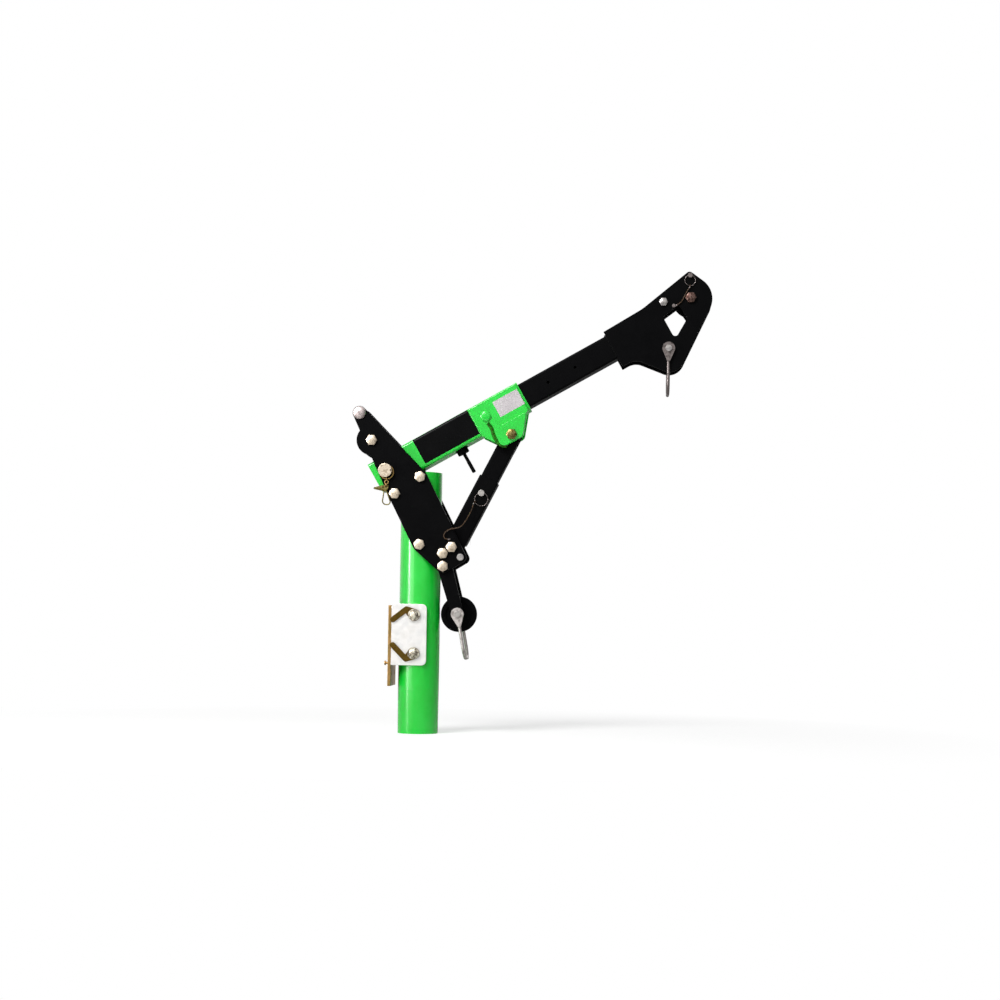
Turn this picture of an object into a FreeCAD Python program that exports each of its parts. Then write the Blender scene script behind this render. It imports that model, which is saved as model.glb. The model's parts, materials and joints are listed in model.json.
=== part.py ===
import FreeCAD, Part
import math
import os
import re
import Sketcher

# Davit arm: mast stub, luffing and telescoping boom, telescoping strut, three sheaves, two bails, quick pins
# and a winch bracket. Millimetres. Origin at the centre of the mast's lower end, +Z up the mast, +X towards
# the head. Boom pieces are drawn in the boom's own frame (x along the boom from its pivot, z square to it),
# strut pieces in the strut's (x along the strut from its foot bolt), and each is then placed on the mast.

doc = FreeCAD.newDocument("DavitArm")

# Driving dimensions
DIMENSIONS = {
    # mast
    "mast_diameter": 101.6, "mast_wall": 6.35, "mast_length": 650, "spigot_step": 0.8, "spigot_length": 110,
    "notch_gap": 4, "notch_width": 81,
    # side plates and the places of their bolts
    "plate_fit": 0.2, "plate_thickness": 9.5, "plate_edge": 17, "lug_edge": 14, "bulge_radius": 37.7,
    "tip_x": -151.3, "tip_rise": 142.2, "rear_x": -120, "rear_rise": 75, "pivot_x": -84, "top_bolt_x": 1.2,
    "top_bolt_drop": 13.2, "back_bolt_reach": 10, "back_bolt_drop": 56, "low_bolt_x": 2,
    "low_bolt_drop": 180.7, "arm_top_reach": 9.2, "arm_top_drop": 201.7, "arm_bolt_reach": 10.2,
    "arm_bolt_drop": 233.5, "foot_reach": 31.2, "foot_drop": 186, "stop_reach": 53.2, "stop_drop": 210.5,
    # hexagon bolts and nuts
    "bolt_diameter": 16, "bolt_flats": 24, "head_height": 10, "nut_height": 13, "bolt_end": 3,
    "hole_clearance": 0.3, "tip_head_diameter": 32, "tip_head_height": 9, "tip_tube_diameter": 25.4,
    "stop_diameter": 10, "stop_head_diameter": 17, "stop_head_height": 5,
    # running clearance between pieces that turn or slide past each other
    "running_gap": 0.4, "tube_gap": 0.375, "cut_overrun": 5,
    # boom sleeve and what is welded to it
    "boom_angle": 30, "sleeve_side": 76.2, "sleeve_wall": 5.95, "sleeve_corner": 7, "sleeve_tail": 34,
    "sleeve_mouth": 388, "boss_diameter": 38, "gusset_start": 250, "gusset_end": 384,
    "gusset_thickness": 6.35, "gusset_top": 34, "doubler_thickness": 6.35, "strut_top_s": 315.6,
    "strut_top_drop": 71, "gusset_corner": 15, "gusset_left": 292.5, "gusset_right": 331,
    "gusset_low": 73.5, "gusset_shoulder": 40, "gusset_foot_s": 380, "gusset_foot": 36,
    "doubler_top_s": 290, "doubler_top": 13, "doubler_corner": 14, "doubler_end": 374,
    "doubler_end_drop": 40, "doubler_neck_s": 303, "doubler_neck": 38.5, "strut_bolt_diameter": 16,
    "strut_bolt_slack": 2.25, "strut_spacer_diameter": 24, "cross_pin_s": 281, "cross_pin_diameter": 15.9,
    "cross_pin_head": 24, "cross_pin_head_height": 7, "clamp_s": 188, "clamp_boss_diameter": 30,
    "clamp_boss_height": 13, "clamp_diameter": 9.5, "clamp_end": 104,
    # inner boom
    "inner_side": 63.5, "inner_wall": 4.8, "inner_corner": 5, "inner_tail": 165, "inner_front": 772,
    "hole_pitch": 76.2, "hole_first": 457.8, "boom_hole_diameter": 7,
    # head plates
    "head_thickness": 6.35, "head_start": 638, "head_top": 42, "head_heel": 56, "sweep_s": 655,
    "sweep_drop": 95.5, "sweep_radius": 39.5, "lobe_s": 752, "lobe_drop": 90, "lobe_radius": 39,
    "axle_s": 869, "axle_rise": 11, "nose_s": 866, "nose_rise": 10, "nose_radius": 55.5, "beak_s": 893,
    "beak_rise": 61, "beak_radius": 9.5, "bend_s": 738, "bend_low": 45, "bend_radius": 120,
    "guard_s": 804.3, "guard_rise": 34.7, "guard_diameter": 12, "guard_flats": 19,
    "guard_tube_diameter": 18, "guard_head_height": 8, "guard_nut_height": 10, "bail_s": 759.6,
    "bail_drop": 72.5, "keeper_s": 894, "keeper_rise": 59.5, "keeper_diameter": 8, "anchor_s": 822,
    "anchor_rise": 14, "window_left": 785, "window_top": 9, "window_foot": 54, "window_heel_s": 793,
    "window_right": 837, "window_right_drop": 26, "window_corner": 8, "window_small_corner": 5,
    # sheaves
    "sheave_radius": 44.45, "rear_sheave_radius": 33, "sheave_width": 22, "groove_radius": 5,
    "groove_depth": 8, "sheave_hub_radius": 17, "sheave_rim": 12, "web_recess": 4, "lip_width": 4.2,
    "bushing_wall": 4, "axle_spacer_diameter": 26, "foot_spacer_diameter": 22,
    # lower arm
    "arm_thickness": 8, "arm_half_width": 15, "wheel_reach": 47.6, "wheel_drop": 351.3,
    "wheel_axle_diameter": 12.7, "collar_diameter": 16, "collar_thickness": 2.5,
    # bails
    "bail_reach": 115, "bail_rod": 8, "bail_eye_diameter": 31.5, "bail_eye_thickness": 8, "bail_taper": 30,
    "bail_corner": 30, "bail_gap": 0.8, "bail_pin_diameter": 12.7, "lower_bail_angle": 10.5,
    # strut
    "strut_side": 50.8, "strut_wall": 2.8, "strut_corner": 4, "strut_length": 193, "strut_cope": 18,
    "strut_inner_side": 44.45, "strut_inner_wall": 4.2, "strut_inner_corner": 3.5, "strut_inner_tail": 42,
    "strut_pin_s": 153, "strut_pin_diameter": 12.7, "strut_travel": 84.5, "ear_length": 30,
    "foot_ear_radius": 18,
    # quick pins and their rings
    "pivot_pin_diameter": 19.05, "pivot_head_diameter": 34, "pivot_head_height": 11, "pivot_ring_gap": 8,
    "pivot_pin_end": 14, "ring_wire": 1.8, "pivot_ring_radius": 16.5, "ring_offset_x": 3.1,
    "ring_offset_z": 3.8, "notch_depth": 6, "notch_size": 7, "pin_head_diameter": 16, "pin_head_height": 10,
    "pin_end": 8, "split_ring_radius": 16.5, "split_ring_wire": 1.3, "ring_sag": 1, "ring_hole_radius": 2.6,
    "keeper_head_diameter": 12, "keeper_head_height": 8, "keeper_ring_radius": 13.2,
    "keeper_hole_radius": 2.5, "keeper_end": 3, "link_radius": 4.5, "link_wire": 1.1, "link_gap": 0.1,
    "linchpin_thickness": 5, "linchpin_eye": 5.5, "linchpin_hole": 2.3, "linchpin_wall": 3.2,
    "linchpin_drop": 0.6, "linchpin_heel_x": -84, "linchpin_heel_drop": 47, "linchpin_heel": 5,
    "linchpin_tip_x": -110, "linchpin_tip_drop": 44, "linchpin_tip": 2.5, "loop_wire": 1.5,
    "loop_left": 7.5, "loop_right": 16, "loop_drop": 37, "loop_root": 2.2,
    # lanyards
    "lanyard_diameter": 2.4, "lanyard_gap": 0.2, "tab_thickness": 2, "tab_edge": 14, "tab_reach": 21,
    "tab_tip": 4, "anchor_diameter": 9, "anchor_height": 4,
    # winch bracket
    "cheek_thickness": 5, "cheek_front": 23, "cheek_low_drop": 480, "cheek_high_drop": 328,
    "cheek_corner": 12, "back_gap": 13.2, "back_thickness": 8, "back_low_drop": 532, "back_high_drop": 332,
    "bracket_bolt_x": -8, "bracket_top_drop": 355, "bracket_bottom_drop": 450,
    "bracket_bolt_diameter": 12.7, "bracket_washer_diameter": 30, "bracket_washer_thickness": 3,
    "bracket_head_diameter": 22, "bracket_head_height": 6, "bracket_arm_thickness": 5,
    "bracket_arm_half_width": 7, "elbow_back": 19, "elbow_rise": 14, "arm_root_reach": 9.2,
    "root_high_drop": 367, "root_low_drop": 430, "winch_hole_diameter": 10.5, "winch_hole_y": 38,
    "winch_low_drop": 500, "winch_high_drop": 360, "stud_drop": 475, "stud_diameter": 6, "stud_length": 5,
    "stud_head_diameter": 11, "stud_head_height": 4, "stud_y": 44,
}
sheet = doc.addObject("Spreadsheet::Sheet", "Sizes")
for row, (alias, size) in enumerate(DIMENSIONS.items(), start=1):
    sheet.set(f"A{row}", alias.replace("_", " "))
    sheet.set(f"B{row}", str(size))
    sheet.setAlias(f"B{row}", alias)
doc.recompute()

NODES = {}


# Expressions: an alias of the sheet is a word with an underscore
def sized(expression):
    return re.sub(r"\b([a-z]+(?:_[a-z]+)+)\b", r"Sizes.\1", str(expression))


def value(expression):
    return float(sheet.evalExpression(sized(expression)))


def bind(item, name, expression):
    item.setExpression(name, sized(expression))


# Heights are measured from the mast's upper end, which the boom's pivot is level with
def above(rise):
    return f"(mast_length + {rise})"


def below(drop):
    return f"(mast_length - {drop})"


# Some pieces stand clear of the mast's wall, ahead of it or behind it
def ahead(reach):
    return f"(mast_diameter / 2 + {reach})"


def behind(reach):
    return f"(0 - mast_diameter / 2 - {reach})"


foot_x, foot_z = ahead("foot_reach"), below("foot_drop")
stop_x, stop_z = ahead("stop_reach"), below("stop_drop")


# Frames of the boom and the strut on the mast
def turned(angle, x, z):
    rotation = FreeCAD.Rotation(FreeCAD.Vector(0, 1, 0), -angle)
    return FreeCAD.Placement(FreeCAD.Vector(value(x), 0, value(z)), rotation)


MAST = FreeCAD.Placement()
BOOM = turned(value("boom_angle"), "pivot_x", "mast_length")
STRUT_TOP = BOOM.multVec(FreeCAD.Vector(value("strut_top_s"), 0, -value("strut_top_drop")))
STRUT_RUN = STRUT_TOP - FreeCAD.Vector(value(foot_x), 0, value(foot_z))
STRUT = turned(math.degrees(math.atan2(STRUT_RUN.z, STRUT_RUN.x)), foot_x, foot_z)
STRUT_REACH = STRUT_RUN.Length


# Bodies, sketches and features
def loose_body(label, frame=MAST, x=0, y=0, z=0):
    item = doc.addObject("PartDesign::Body", label)
    item.Label = label
    item.AllowCompound = True
    offset = FreeCAD.Placement(FreeCAD.Vector(value(x), value(y), value(z)), FreeCAD.Rotation())
    item.Placement = frame.multiply(offset)
    return item


def body(label, frame=MAST, x=0, y=0, z=0):
    NODES[label] = loose_body(label, frame, x, y, z)
    return NODES[label]


def new_sketch(part, role, offset=0):
    plane = next(feature for feature in part.Origin.OriginFeatures if feature.Role == role)
    sketch = part.newObject("Sketcher::SketchObject", "Sketch")
    sketch.AttachmentSupport = [(plane, "")]
    sketch.MapMode = "FlatFace"
    bind(sketch, "AttachmentOffset.Base.z", offset)
    return sketch


def dimension(sketch, kind, *geometry, expression):
    index = sketch.addConstraint(Sketcher.Constraint(kind, *geometry, value(expression)))
    bind(sketch, f"Constraints[{index}]", expression)


def draw_circle(sketch, x, y, radius):
    centre = FreeCAD.Vector(value(x), value(y), 0)
    circle = sketch.addGeometry(Part.Circle(centre, FreeCAD.Vector(0, 0, 1), value(radius)), False)
    dimension(sketch, "DistanceX", -1, 1, circle, 3, expression=x)
    dimension(sketch, "DistanceY", -1, 1, circle, 3, expression=y)
    dimension(sketch, "Radius", circle, expression=radius)


# Outline of tangent lines and arcs round stations (x, y, radius), anticlockwise.
# A radius below zero is a hollow arc, a radius of zero a sharp corner.
def draw_belt(sketch, stations):
    if len(stations) == 1:
        draw_circle(sketch, *stations[0])
        return
    places = [tuple(value(number) for number in station) for station in stations]
    runs = []
    for (x1, y1, r1), (x2, y2, r2) in zip(places, places[1:] + places[:1]):
        lean = math.atan2(y2 - y1, x2 - x1) - math.asin((r2 - r1) / math.hypot(x2 - x1, y2 - y1))
        normal = FreeCAD.Vector(-math.sin(lean), math.cos(lean), 0)
        runs.append((FreeCAD.Vector(x1, y1, 0) - normal * r1, FreeCAD.Vector(x2, y2, 0) - normal * r2))
    lines = [sketch.addGeometry(Part.LineSegment(start, end), False) for start, end in runs]
    for index, ((x, y, radius), station) in enumerate(zip(places, stations)):
        before, after = lines[index - 1], lines[index]
        if radius == 0:
            sketch.addConstraint(Sketcher.Constraint("Coincident", before, 2, after, 1))
            dimension(sketch, "DistanceX", -1, 1, after, 1, expression=station[0])
            dimension(sketch, "DistanceY", -1, 1, after, 1, expression=station[1])
            continue
        ends = [runs[index - 1][1], runs[index][0]]
        if radius < 0:
            ends.reverse()
        centre = FreeCAD.Vector(x, y, 0)
        angles = [math.atan2(point.y - y, point.x - x) for point in ends]
        circle = Part.Circle(centre, FreeCAD.Vector(0, 0, 1), abs(radius))
        arc = sketch.addGeometry(Part.ArcOfCircle(circle, *angles), False)
        entry, leaving = (1, 2) if radius > 0 else (2, 1)
        sketch.addConstraint(Sketcher.Constraint("Tangent", before, 2, arc, entry))
        sketch.addConstraint(Sketcher.Constraint("Tangent", after, 1, arc, leaving))
        dimension(sketch, "DistanceX", -1, 1, arc, 3, expression=station[0])
        dimension(sketch, "DistanceY", -1, 1, arc, 3, expression=station[1])
        dimension(sketch, "Radius", arc, expression=station[2] if radius > 0 else f"0 - ({station[2]})")


# Plate between two values of y, with its outline and any holes drawn in the XZ plane
def slab(part, low, high, *outlines):
    sketch = new_sketch(part, "XZ_Plane", f"0 - ({high})")
    for outline in outlines:
        draw_belt(sketch, outline)
    pad = part.newObject("PartDesign::Pad", "Slab")
    pad.Profile = sketch
    bind(pad, "Length", f"({high}) - ({low})")


def volume(part):
    doc.recompute()
    return part.Shape.Volume


# Pocket along y between two values of y
def drill(part, low, high, *outlines):
    solid = volume(part)
    sketch = new_sketch(part, "XZ_Plane", f"0 - ({low})")
    for outline in outlines:
        draw_belt(sketch, outline)
    pocket = part.newObject("PartDesign::Pocket", "Drill")
    pocket.Profile = sketch
    bind(pocket, "Length", f"({high}) - ({low})")
    if volume(part) >= solid:
        raise RuntimeError(f"{part.Label}: a pocket cut nothing")


# Bar along x with its section drawn in the YZ plane
def bar(part, start, end, *sections):
    sketch = new_sketch(part, "YZ_Plane", start)
    for section in sections:
        draw_belt(sketch, section)
    pad = part.newObject("PartDesign::Pad", "Bar")
    pad.Profile = sketch
    bind(pad, "Length", f"({end}) - ({start})")


# Disc or tube along z with its section drawn in the XY plane
def post(part, low, high, *sections):
    sketch = new_sketch(part, "XY_Plane", low)
    for section in sections:
        draw_belt(sketch, section)
    pad = part.newObject("PartDesign::Pad", "Post")
    pad.Profile = sketch
    bind(pad, "Length", f"({high}) - ({low})")


# Turned piece round the y axis, from its profile of (radius, y) stations
def spin(part, profile):
    sketch = new_sketch(part, "XY_Plane")
    draw_belt(sketch, profile)
    turn = part.newObject("PartDesign::Revolution", "Spin")
    turn.Profile = sketch
    turn.ReferenceAxis = (sketch, ["V_Axis"])
    turn.Angle = 360


# Round wire along a path of straight lines and arcs drawn in one of the body's planes
def wire_form(part, role, path, radius):
    rail = new_sketch(part, role)
    for edge in path:
        rail.addGeometry(edge, False)
    section = new_sketch(part, "XY_Plane", path[0].StartPoint.y)
    start = path[0].StartPoint.x
    x, y = (start, 0) if role == "XZ_Plane" else (0, start)
    circle = Part.Circle(FreeCAD.Vector(x, y, 0), FreeCAD.Vector(0, 0, 1), value(radius))
    section.addGeometry(circle, False)
    pipe = part.newObject("PartDesign::AdditivePipe", "Wire")
    pipe.Profile = section
    pipe.Spine = (rail, [f"Edge{number + 1}" for number in range(len(path))])


# Stations of common outlines
def circle(x, z, diameter):
    return [(x, z, f"({diameter}) / 2")]


def hexagon(x, z, flats):
    corners = [60 * step for step in range(6)]
    reach = f"({flats}) / sqrt(3)"
    return [(f"({x}) + {reach} * cos({turn})", f"({z}) + {reach} * sin({turn})", 0) for turn in corners]


def square(side, corner, inset=0):
    half = f"({side}) / 2 - ({inset})"
    place = f"{half} - ({corner})"
    signs = ((-1, -1), (1, -1), (1, 1), (-1, 1))
    return [(f"{a} * ({place})", f"{b} * ({place})", corner) for a, b in signs]


def capsule(x1, z1, x2, z2, radius):
    return [(x1, z1, radius), (x2, z2, radius)]


# Both sides of the middle plane: near is towards -Y, far towards +Y
def spans(inner, outer):
    return {"near": (f"0 - ({outer})", f"0 - ({inner})"), "far": (inner, outer)}


plate_inner = "(mast_diameter / 2 + plate_fit)"
plate_outer = f"({plate_inner} + plate_thickness)"
bolt_hole = "(bolt_diameter + 2 * hole_clearance)"
pivot_hole = "(pivot_pin_diameter + 2 * hole_clearance)"

BOLTS = {
    "top": ("top_bolt_x", below("top_bolt_drop")),
    "back": (behind("back_bolt_reach"), below("back_bolt_drop")),
    "low": ("low_bolt_x", below("low_bolt_drop")),
    "arm_top": (ahead("arm_top_reach"), below("arm_top_drop")),
    "arm_low": (ahead("arm_bolt_reach"), below("arm_bolt_drop")),
}
REAR = ("rear_x", above("rear_rise"))
FOOT = (foot_x, foot_z)
TIP = ("tip_x", above("tip_rise"))
PIVOT = ("pivot_x", "mast_length")
WHEEL = (ahead("wheel_reach"), below("wheel_drop"))

# Mast tube with its turned foot, its bolt holes and the sloping notch that clears the sleeve's underside
mast = body("mast_tube")
mast_bore = circle("0", "0", "mast_diameter - 2 * mast_wall")
post(mast, "0", "spigot_length", circle("0", "0", "mast_diameter - 2 * spigot_step"), mast_bore)
post(mast, "spigot_length", "mast_length", circle("0", "0", "mast_diameter"), mast_bore)
mast_side = "(mast_diameter / 2 + cut_overrun)"
bracket_levels = (below("bracket_top_drop"), below("bracket_bottom_drop"))
for x, z in (BOLTS["top"], BOLTS["low"]):
    drill(mast, f"0 - {mast_side}", mast_side, circle(x, z, bolt_hole))
for level in bracket_levels:
    drill(mast, f"0 - {mast_side}", mast_side,
          circle("bracket_bolt_x", level, "bracket_bolt_diameter + 2 * hole_clearance"))
notch_drop = "(sleeve_side / 2 + notch_gap) / cos(boom_angle)"
notch_back = f"(0 - {mast_side})"
notch_low = f"mast_length + ({notch_back} - pivot_x) * tan(boom_angle) - {notch_drop}"
notch_top = "(mast_length + cut_overrun)"
notch_front = f"pivot_x + ({notch_top} - mast_length + {notch_drop}) / tan(boom_angle)"
drill(mast, "0 - notch_width / 2", "notch_width / 2",
      [(notch_back, notch_top, 0), (notch_back, notch_low, 0), (notch_front, notch_top, 0)])

# Side plates: outline drawn round the bolts that they carry, with a round bulge at the rear sheave
for side, (low, high) in spans(plate_inner, plate_outer).items():
    plate = body(f"side_plate_{side}")
    outline = [
        (*TIP, "plate_edge"),
        (*BOLTS["back"], "plate_edge"),
        (*BOLTS["low"], "plate_edge"),
        (*BOLTS["arm_low"], "plate_edge"),
        (stop_x, stop_z, "lug_edge"),
        (*BOLTS["top"], "plate_edge"),
    ]
    slab(plate, low, high, outline)
    slab(plate, low, high, circle(*REAR, "2 * bulge_radius"))
    holes = [circle(x, z, bolt_hole) for x, z in (*BOLTS.values(), REAR, FOOT, TIP)]
    holes.append(circle(*PIVOT, pivot_hole))
    holes.append(circle(stop_x, stop_z, "stop_diameter"))
    drill(plate, low, high, *holes)


# Hexagon bolt through both plates with its head on the near side, and its nut on the far side
def hex_bolt(part, x, z, grip, diameter, flats, height, nut):
    slab(part, f"0 - ({grip}) - ({height})", f"0 - ({grip})", hexagon(x, z, flats))
    slab(part, f"0 - ({grip})", f"({grip}) + ({nut}) + bolt_end", circle(x, z, diameter))


def hex_nut(part, x, z, grip, diameter, flats, height):
    slab(part, grip, f"({grip}) + ({height})", hexagon(x, z, flats), circle(x, z, diameter))


plate_bolts = body("plate_bolts")
plate_nuts = body("plate_nuts")
for x, z in BOLTS.values():
    hex_bolt(plate_bolts, x, z, plate_outer, "bolt_diameter", "bolt_flats", "head_height", "nut_height")
for x, z in (*BOLTS.values(), REAR, FOOT, TIP):
    hex_nut(plate_nuts, x, z, plate_outer, "bolt_diameter", "bolt_flats", "nut_height")

rear_axle = body("rear_axle_bolt")
hex_bolt(rear_axle, *REAR, plate_outer, "bolt_diameter", "bolt_flats", "head_height", "nut_height")

# The strut foot bolt's head stands on the tab of the strut's lanyard
strut_foot = body("strut_foot_bolt")
slab(strut_foot, f"0 - {plate_outer} - tab_thickness - head_height", f"0 - {plate_outer} - tab_thickness",
     hexagon(*FOOT, "bolt_flats"))
slab(strut_foot, f"0 - {plate_outer} - tab_thickness", f"{plate_outer} + nut_height + bolt_end",
     circle(*FOOT, "bolt_diameter"))
tab = body("strut_lanyard_tab")
slab(tab, f"0 - {plate_outer} - tab_thickness", f"0 - {plate_outer}",
     [(*FOOT, "tab_edge"), (f"{foot_x} + tab_tip", f"{foot_z} + tab_reach", "tab_tip"),
      (f"{foot_x} - tab_tip", f"{foot_z} + tab_reach", "tab_tip")],
     circle(*FOOT, "bolt_diameter"))

# Tip bolt with a round head, and the tube that spaces the plates there
tip_bolt = body("tip_bolt")
slab(tip_bolt, f"0 - {plate_outer} - tip_head_height", f"0 - {plate_outer}",
     circle(*TIP, "tip_head_diameter"))
slab(tip_bolt, f"0 - {plate_outer}", f"{plate_outer} + nut_height + bolt_end", circle(*TIP, "bolt_diameter"))
tip_spacer = body("tip_spacer")
slab(tip_spacer, f"0 - {plate_inner}", plate_inner, circle(*TIP, "tip_tube_diameter"),
     circle(*TIP, bolt_hole))

# Stop pin across the lower corner of the plates
stop_pin = body("stop_pin")
slab(stop_pin, f"0 - {plate_outer} - stop_head_height", f"0 - {plate_outer}",
     circle(stop_x, stop_z, "stop_head_diameter"))
slab(stop_pin, f"0 - {plate_outer}", f"{plate_outer} + bolt_end", circle(stop_x, stop_z, "stop_diameter"))


# Spacer tubes on both sides of a wheel, eye or lug
def spacer_pair(label, x, z, inner, outer, diameter, bore, frame=MAST):
    part = body(label, frame)
    for low, high in spans(inner, outer).values():
        slab(part, low, high, circle(x, z, diameter), circle(x, z, bore))


sheave_side = "(sheave_width / 2 + running_gap)"
spacer_pair("rear_axle_spacers", *REAR, sheave_side, plate_inner, "axle_spacer_diameter",
            "bolt_diameter")
spacer_pair("strut_foot_spacers", *FOOT, "strut_side / 2 + running_gap", plate_inner,
            "foot_spacer_diameter", "bolt_diameter")

# Lower arm: two flat bars between the side plates, down to the lower sheave's axle
arm_inner = f"({plate_inner} - arm_thickness)"
arm_outline = [(*place, "arm_half_width") for place in (BOLTS["arm_top"], BOLTS["arm_low"], WHEEL)]
arms = body("lower_arm_bars")
for low, high in spans(arm_inner, plate_inner).values():
    slab(arms, low, high, arm_outline, circle(*BOLTS["arm_top"], bolt_hole),
         circle(*BOLTS["arm_low"], bolt_hole), circle(*WHEEL, "wheel_axle_diameter"))
spacer_pair("lower_axle_spacers", *WHEEL, sheave_side, arm_inner, "axle_spacer_diameter",
            "wheel_axle_diameter")

# Axle or pin that carries a bail's eyes on its ends, held by a collar outside each eye
def bail_pin(part, x, z, grip, diameter):
    end = f"({grip}) + 2 * bail_gap + bail_eye_thickness"
    slab(part, f"0 - ({end})", end, circle(x, z, diameter))
    for low, high in spans(end, f"{end} + collar_thickness").values():
        slab(part, low, high, circle(x, z, "collar_diameter"))


lower_axle = body("lower_axle")
bail_pin(lower_axle, *WHEEL, plate_inner, "wheel_axle_diameter")


# Sheave round the y axis with a rope groove, dished sides and a hub
def sheave(label, radius, frame, x, z):
    part = body(label, frame, x, 0, z)
    half = "(sheave_width / 2)"
    bore = "(bolt_diameter / 2 + hole_clearance + bushing_wall)"
    web = f"({half} - web_recess)"
    rim = f"({radius} - sheave_rim)"
    spin(part, [
        (bore, f"0 - {half}", 0), ("sheave_hub_radius", f"0 - {half}", 0),
        ("sheave_hub_radius", f"0 - {web}", 0),
        (rim, f"0 - {web}", 0), (rim, f"0 - {half}", 0), (radius, f"0 - {half}", 0),
        (radius, f"lip_width - {half}", 0),
        (f"{radius} - groove_depth + groove_radius", "0", "0 - groove_radius"),
        (radius, f"{half} - lip_width", 0),
        (radius, half, 0), (rim, half, 0), (rim, web, 0), ("sheave_hub_radius", web, 0),
        ("sheave_hub_radius", half, 0), (bore, half, 0),
    ])


def bushing(label, axle_diameter, frame, x, z):
    part = body(label, frame, x, 0, z)
    slab(part, "0 - sheave_width / 2", "sheave_width / 2",
         circle("0", "0", f"{bolt_hole} + 2 * bushing_wall"),
         circle("0", "0", f"{axle_diameter} + 2 * hole_clearance"))


sheave("rear_sheave", "rear_sheave_radius", MAST, *REAR)
bushing("rear_bushing", "bolt_diameter", MAST, *REAR)
sheave("lower_sheave", "sheave_radius", MAST, *WHEEL)
bushing("lower_bushing", "wheel_axle_diameter", MAST, *WHEEL)
sheave("head_sheave", "sheave_radius", BOOM, "axle_s", "axle_rise")
bushing("head_bushing", "bolt_diameter", BOOM, "axle_s", "axle_rise")


# Bail: a bent rod with an eye forged on each end, hanging along -Z from its pin
def bail(label, grip, frame, x, z, angle):
    part = body(label, frame, x, 0, z)
    tilt = FreeCAD.Rotation(FreeCAD.Vector(0, 1, 0), angle)
    part.Placement = part.Placement.multiply(FreeCAD.Placement(FreeCAD.Vector(), tilt))
    inner = f"({grip}) + bail_gap"
    leg = value(f"{inner} + bail_eye_thickness / 2")
    for low, high in spans(inner, f"{inner} + bail_eye_thickness").values():
        slab(part, low, high, [("0", "0", "bail_eye_diameter / 2"), ("0", "0 - bail_taper", "bail_rod / 2")],
             circle("0", "0", "bail_pin_diameter + 2 * hole_clearance"))
    corner = value("bail_corner")
    foot = -value("bail_reach - bail_rod / 2")
    start = -value("bail_taper")
    down = Part.Circle(FreeCAD.Vector(corner - leg, foot + corner, 0), FreeCAD.Vector(0, 0, 1), corner)
    up = Part.Circle(FreeCAD.Vector(leg - corner, foot + corner, 0), FreeCAD.Vector(0, 0, 1), corner)
    path = [
        Part.LineSegment(FreeCAD.Vector(-leg, start, 0), FreeCAD.Vector(-leg, foot + corner, 0)),
        Part.ArcOfCircle(down, math.pi, 1.5 * math.pi),
        Part.LineSegment(FreeCAD.Vector(corner - leg, foot, 0), FreeCAD.Vector(leg - corner, foot, 0)),
        Part.ArcOfCircle(up, 1.5 * math.pi, 2 * math.pi),
        Part.LineSegment(FreeCAD.Vector(leg, foot + corner, 0), FreeCAD.Vector(leg, start, 0)),
    ]
    wire_form(part, "YZ_Plane", path, "bail_rod / 2")


bail("lower_bail", plate_inner, MAST, *WHEEL, -value("lower_bail_angle"))

# Boom sleeve with its pivot bosses
sleeve = body("sleeve_tube", BOOM)
sleeve_half = "(sleeve_side / 2)"
bar(sleeve, "0 - sleeve_tail", "sleeve_mouth", square("sleeve_side", "sleeve_corner"),
    square("sleeve_side", "sleeve_corner - sleeve_wall / 2 - tube_gap", "sleeve_wall"))
for low, high in spans(f"{sleeve_half} - sleeve_wall / 2", f"{plate_inner} - running_gap").values():
    slab(sleeve, low, high, circle("0", "0", "boss_diameter"))
drill(sleeve, f"0 - {plate_inner}", plate_inner, circle("0", "0", pivot_hole),
      circle("cross_pin_s", "0", "cross_pin_diameter"))

# Gusset plates on the sleeve's sides, and the doublers on them round the strut's top bolt
gusset_outer = f"({sleeve_half} + gusset_thickness)"
doubler_outer = f"({gusset_outer} + doubler_thickness)"
strut_top = ("strut_top_s", "0 - strut_top_drop")
strut_hole = "(strut_bolt_diameter + 2 * hole_clearance)"
gussets = body("gusset_plates", BOOM)
doublers = body("gusset_doublers", BOOM)
gusset_outline = [
    ("gusset_start", "gusset_top", 0),
    ("gusset_start", "0 - gusset_shoulder", 0),
    ("gusset_left", "0 - gusset_low", "gusset_corner"),
    ("gusset_right", "0 - gusset_low", "gusset_corner"),
    ("gusset_foot_s", "0 - gusset_foot", 0),
    ("gusset_end", "gusset_top", 0),
]
doubler_outline = [
    ("doubler_top_s", "0 - doubler_top", 0),
    ("gusset_left", "0 - gusset_low", "doubler_corner"),
    ("gusset_right", "0 - gusset_low", "doubler_corner"),
    ("doubler_end", "0 - doubler_end_drop", 0),
    ("doubler_neck_s", "0 - doubler_neck", 0),
]
for side in ("near", "far"):
    low, high = spans(sleeve_half, gusset_outer)[side]
    slab(gussets, low, high, gusset_outline, circle(*strut_top, strut_hole),
         circle("cross_pin_s", "0", "cross_pin_diameter"))
    low, high = spans(gusset_outer, doubler_outer)[side]
    slab(doublers, low, high, doubler_outline, circle(*strut_top, strut_hole))
strut_bolt = body("strut_top_bolt", BOOM)
hex_bolt(strut_bolt, *strut_top, doubler_outer, "strut_bolt_diameter", "bolt_flats", "head_height",
         "nut_height")
strut_nut = body("strut_top_nut", BOOM)
hex_nut(strut_nut, *strut_top, doubler_outer, "strut_bolt_diameter", "bolt_flats", "nut_height")
spacer_pair("strut_top_spacers", *strut_top, "strut_inner_side / 2 + running_gap", sleeve_half,
            "strut_spacer_diameter", "strut_bolt_diameter", BOOM)

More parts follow.
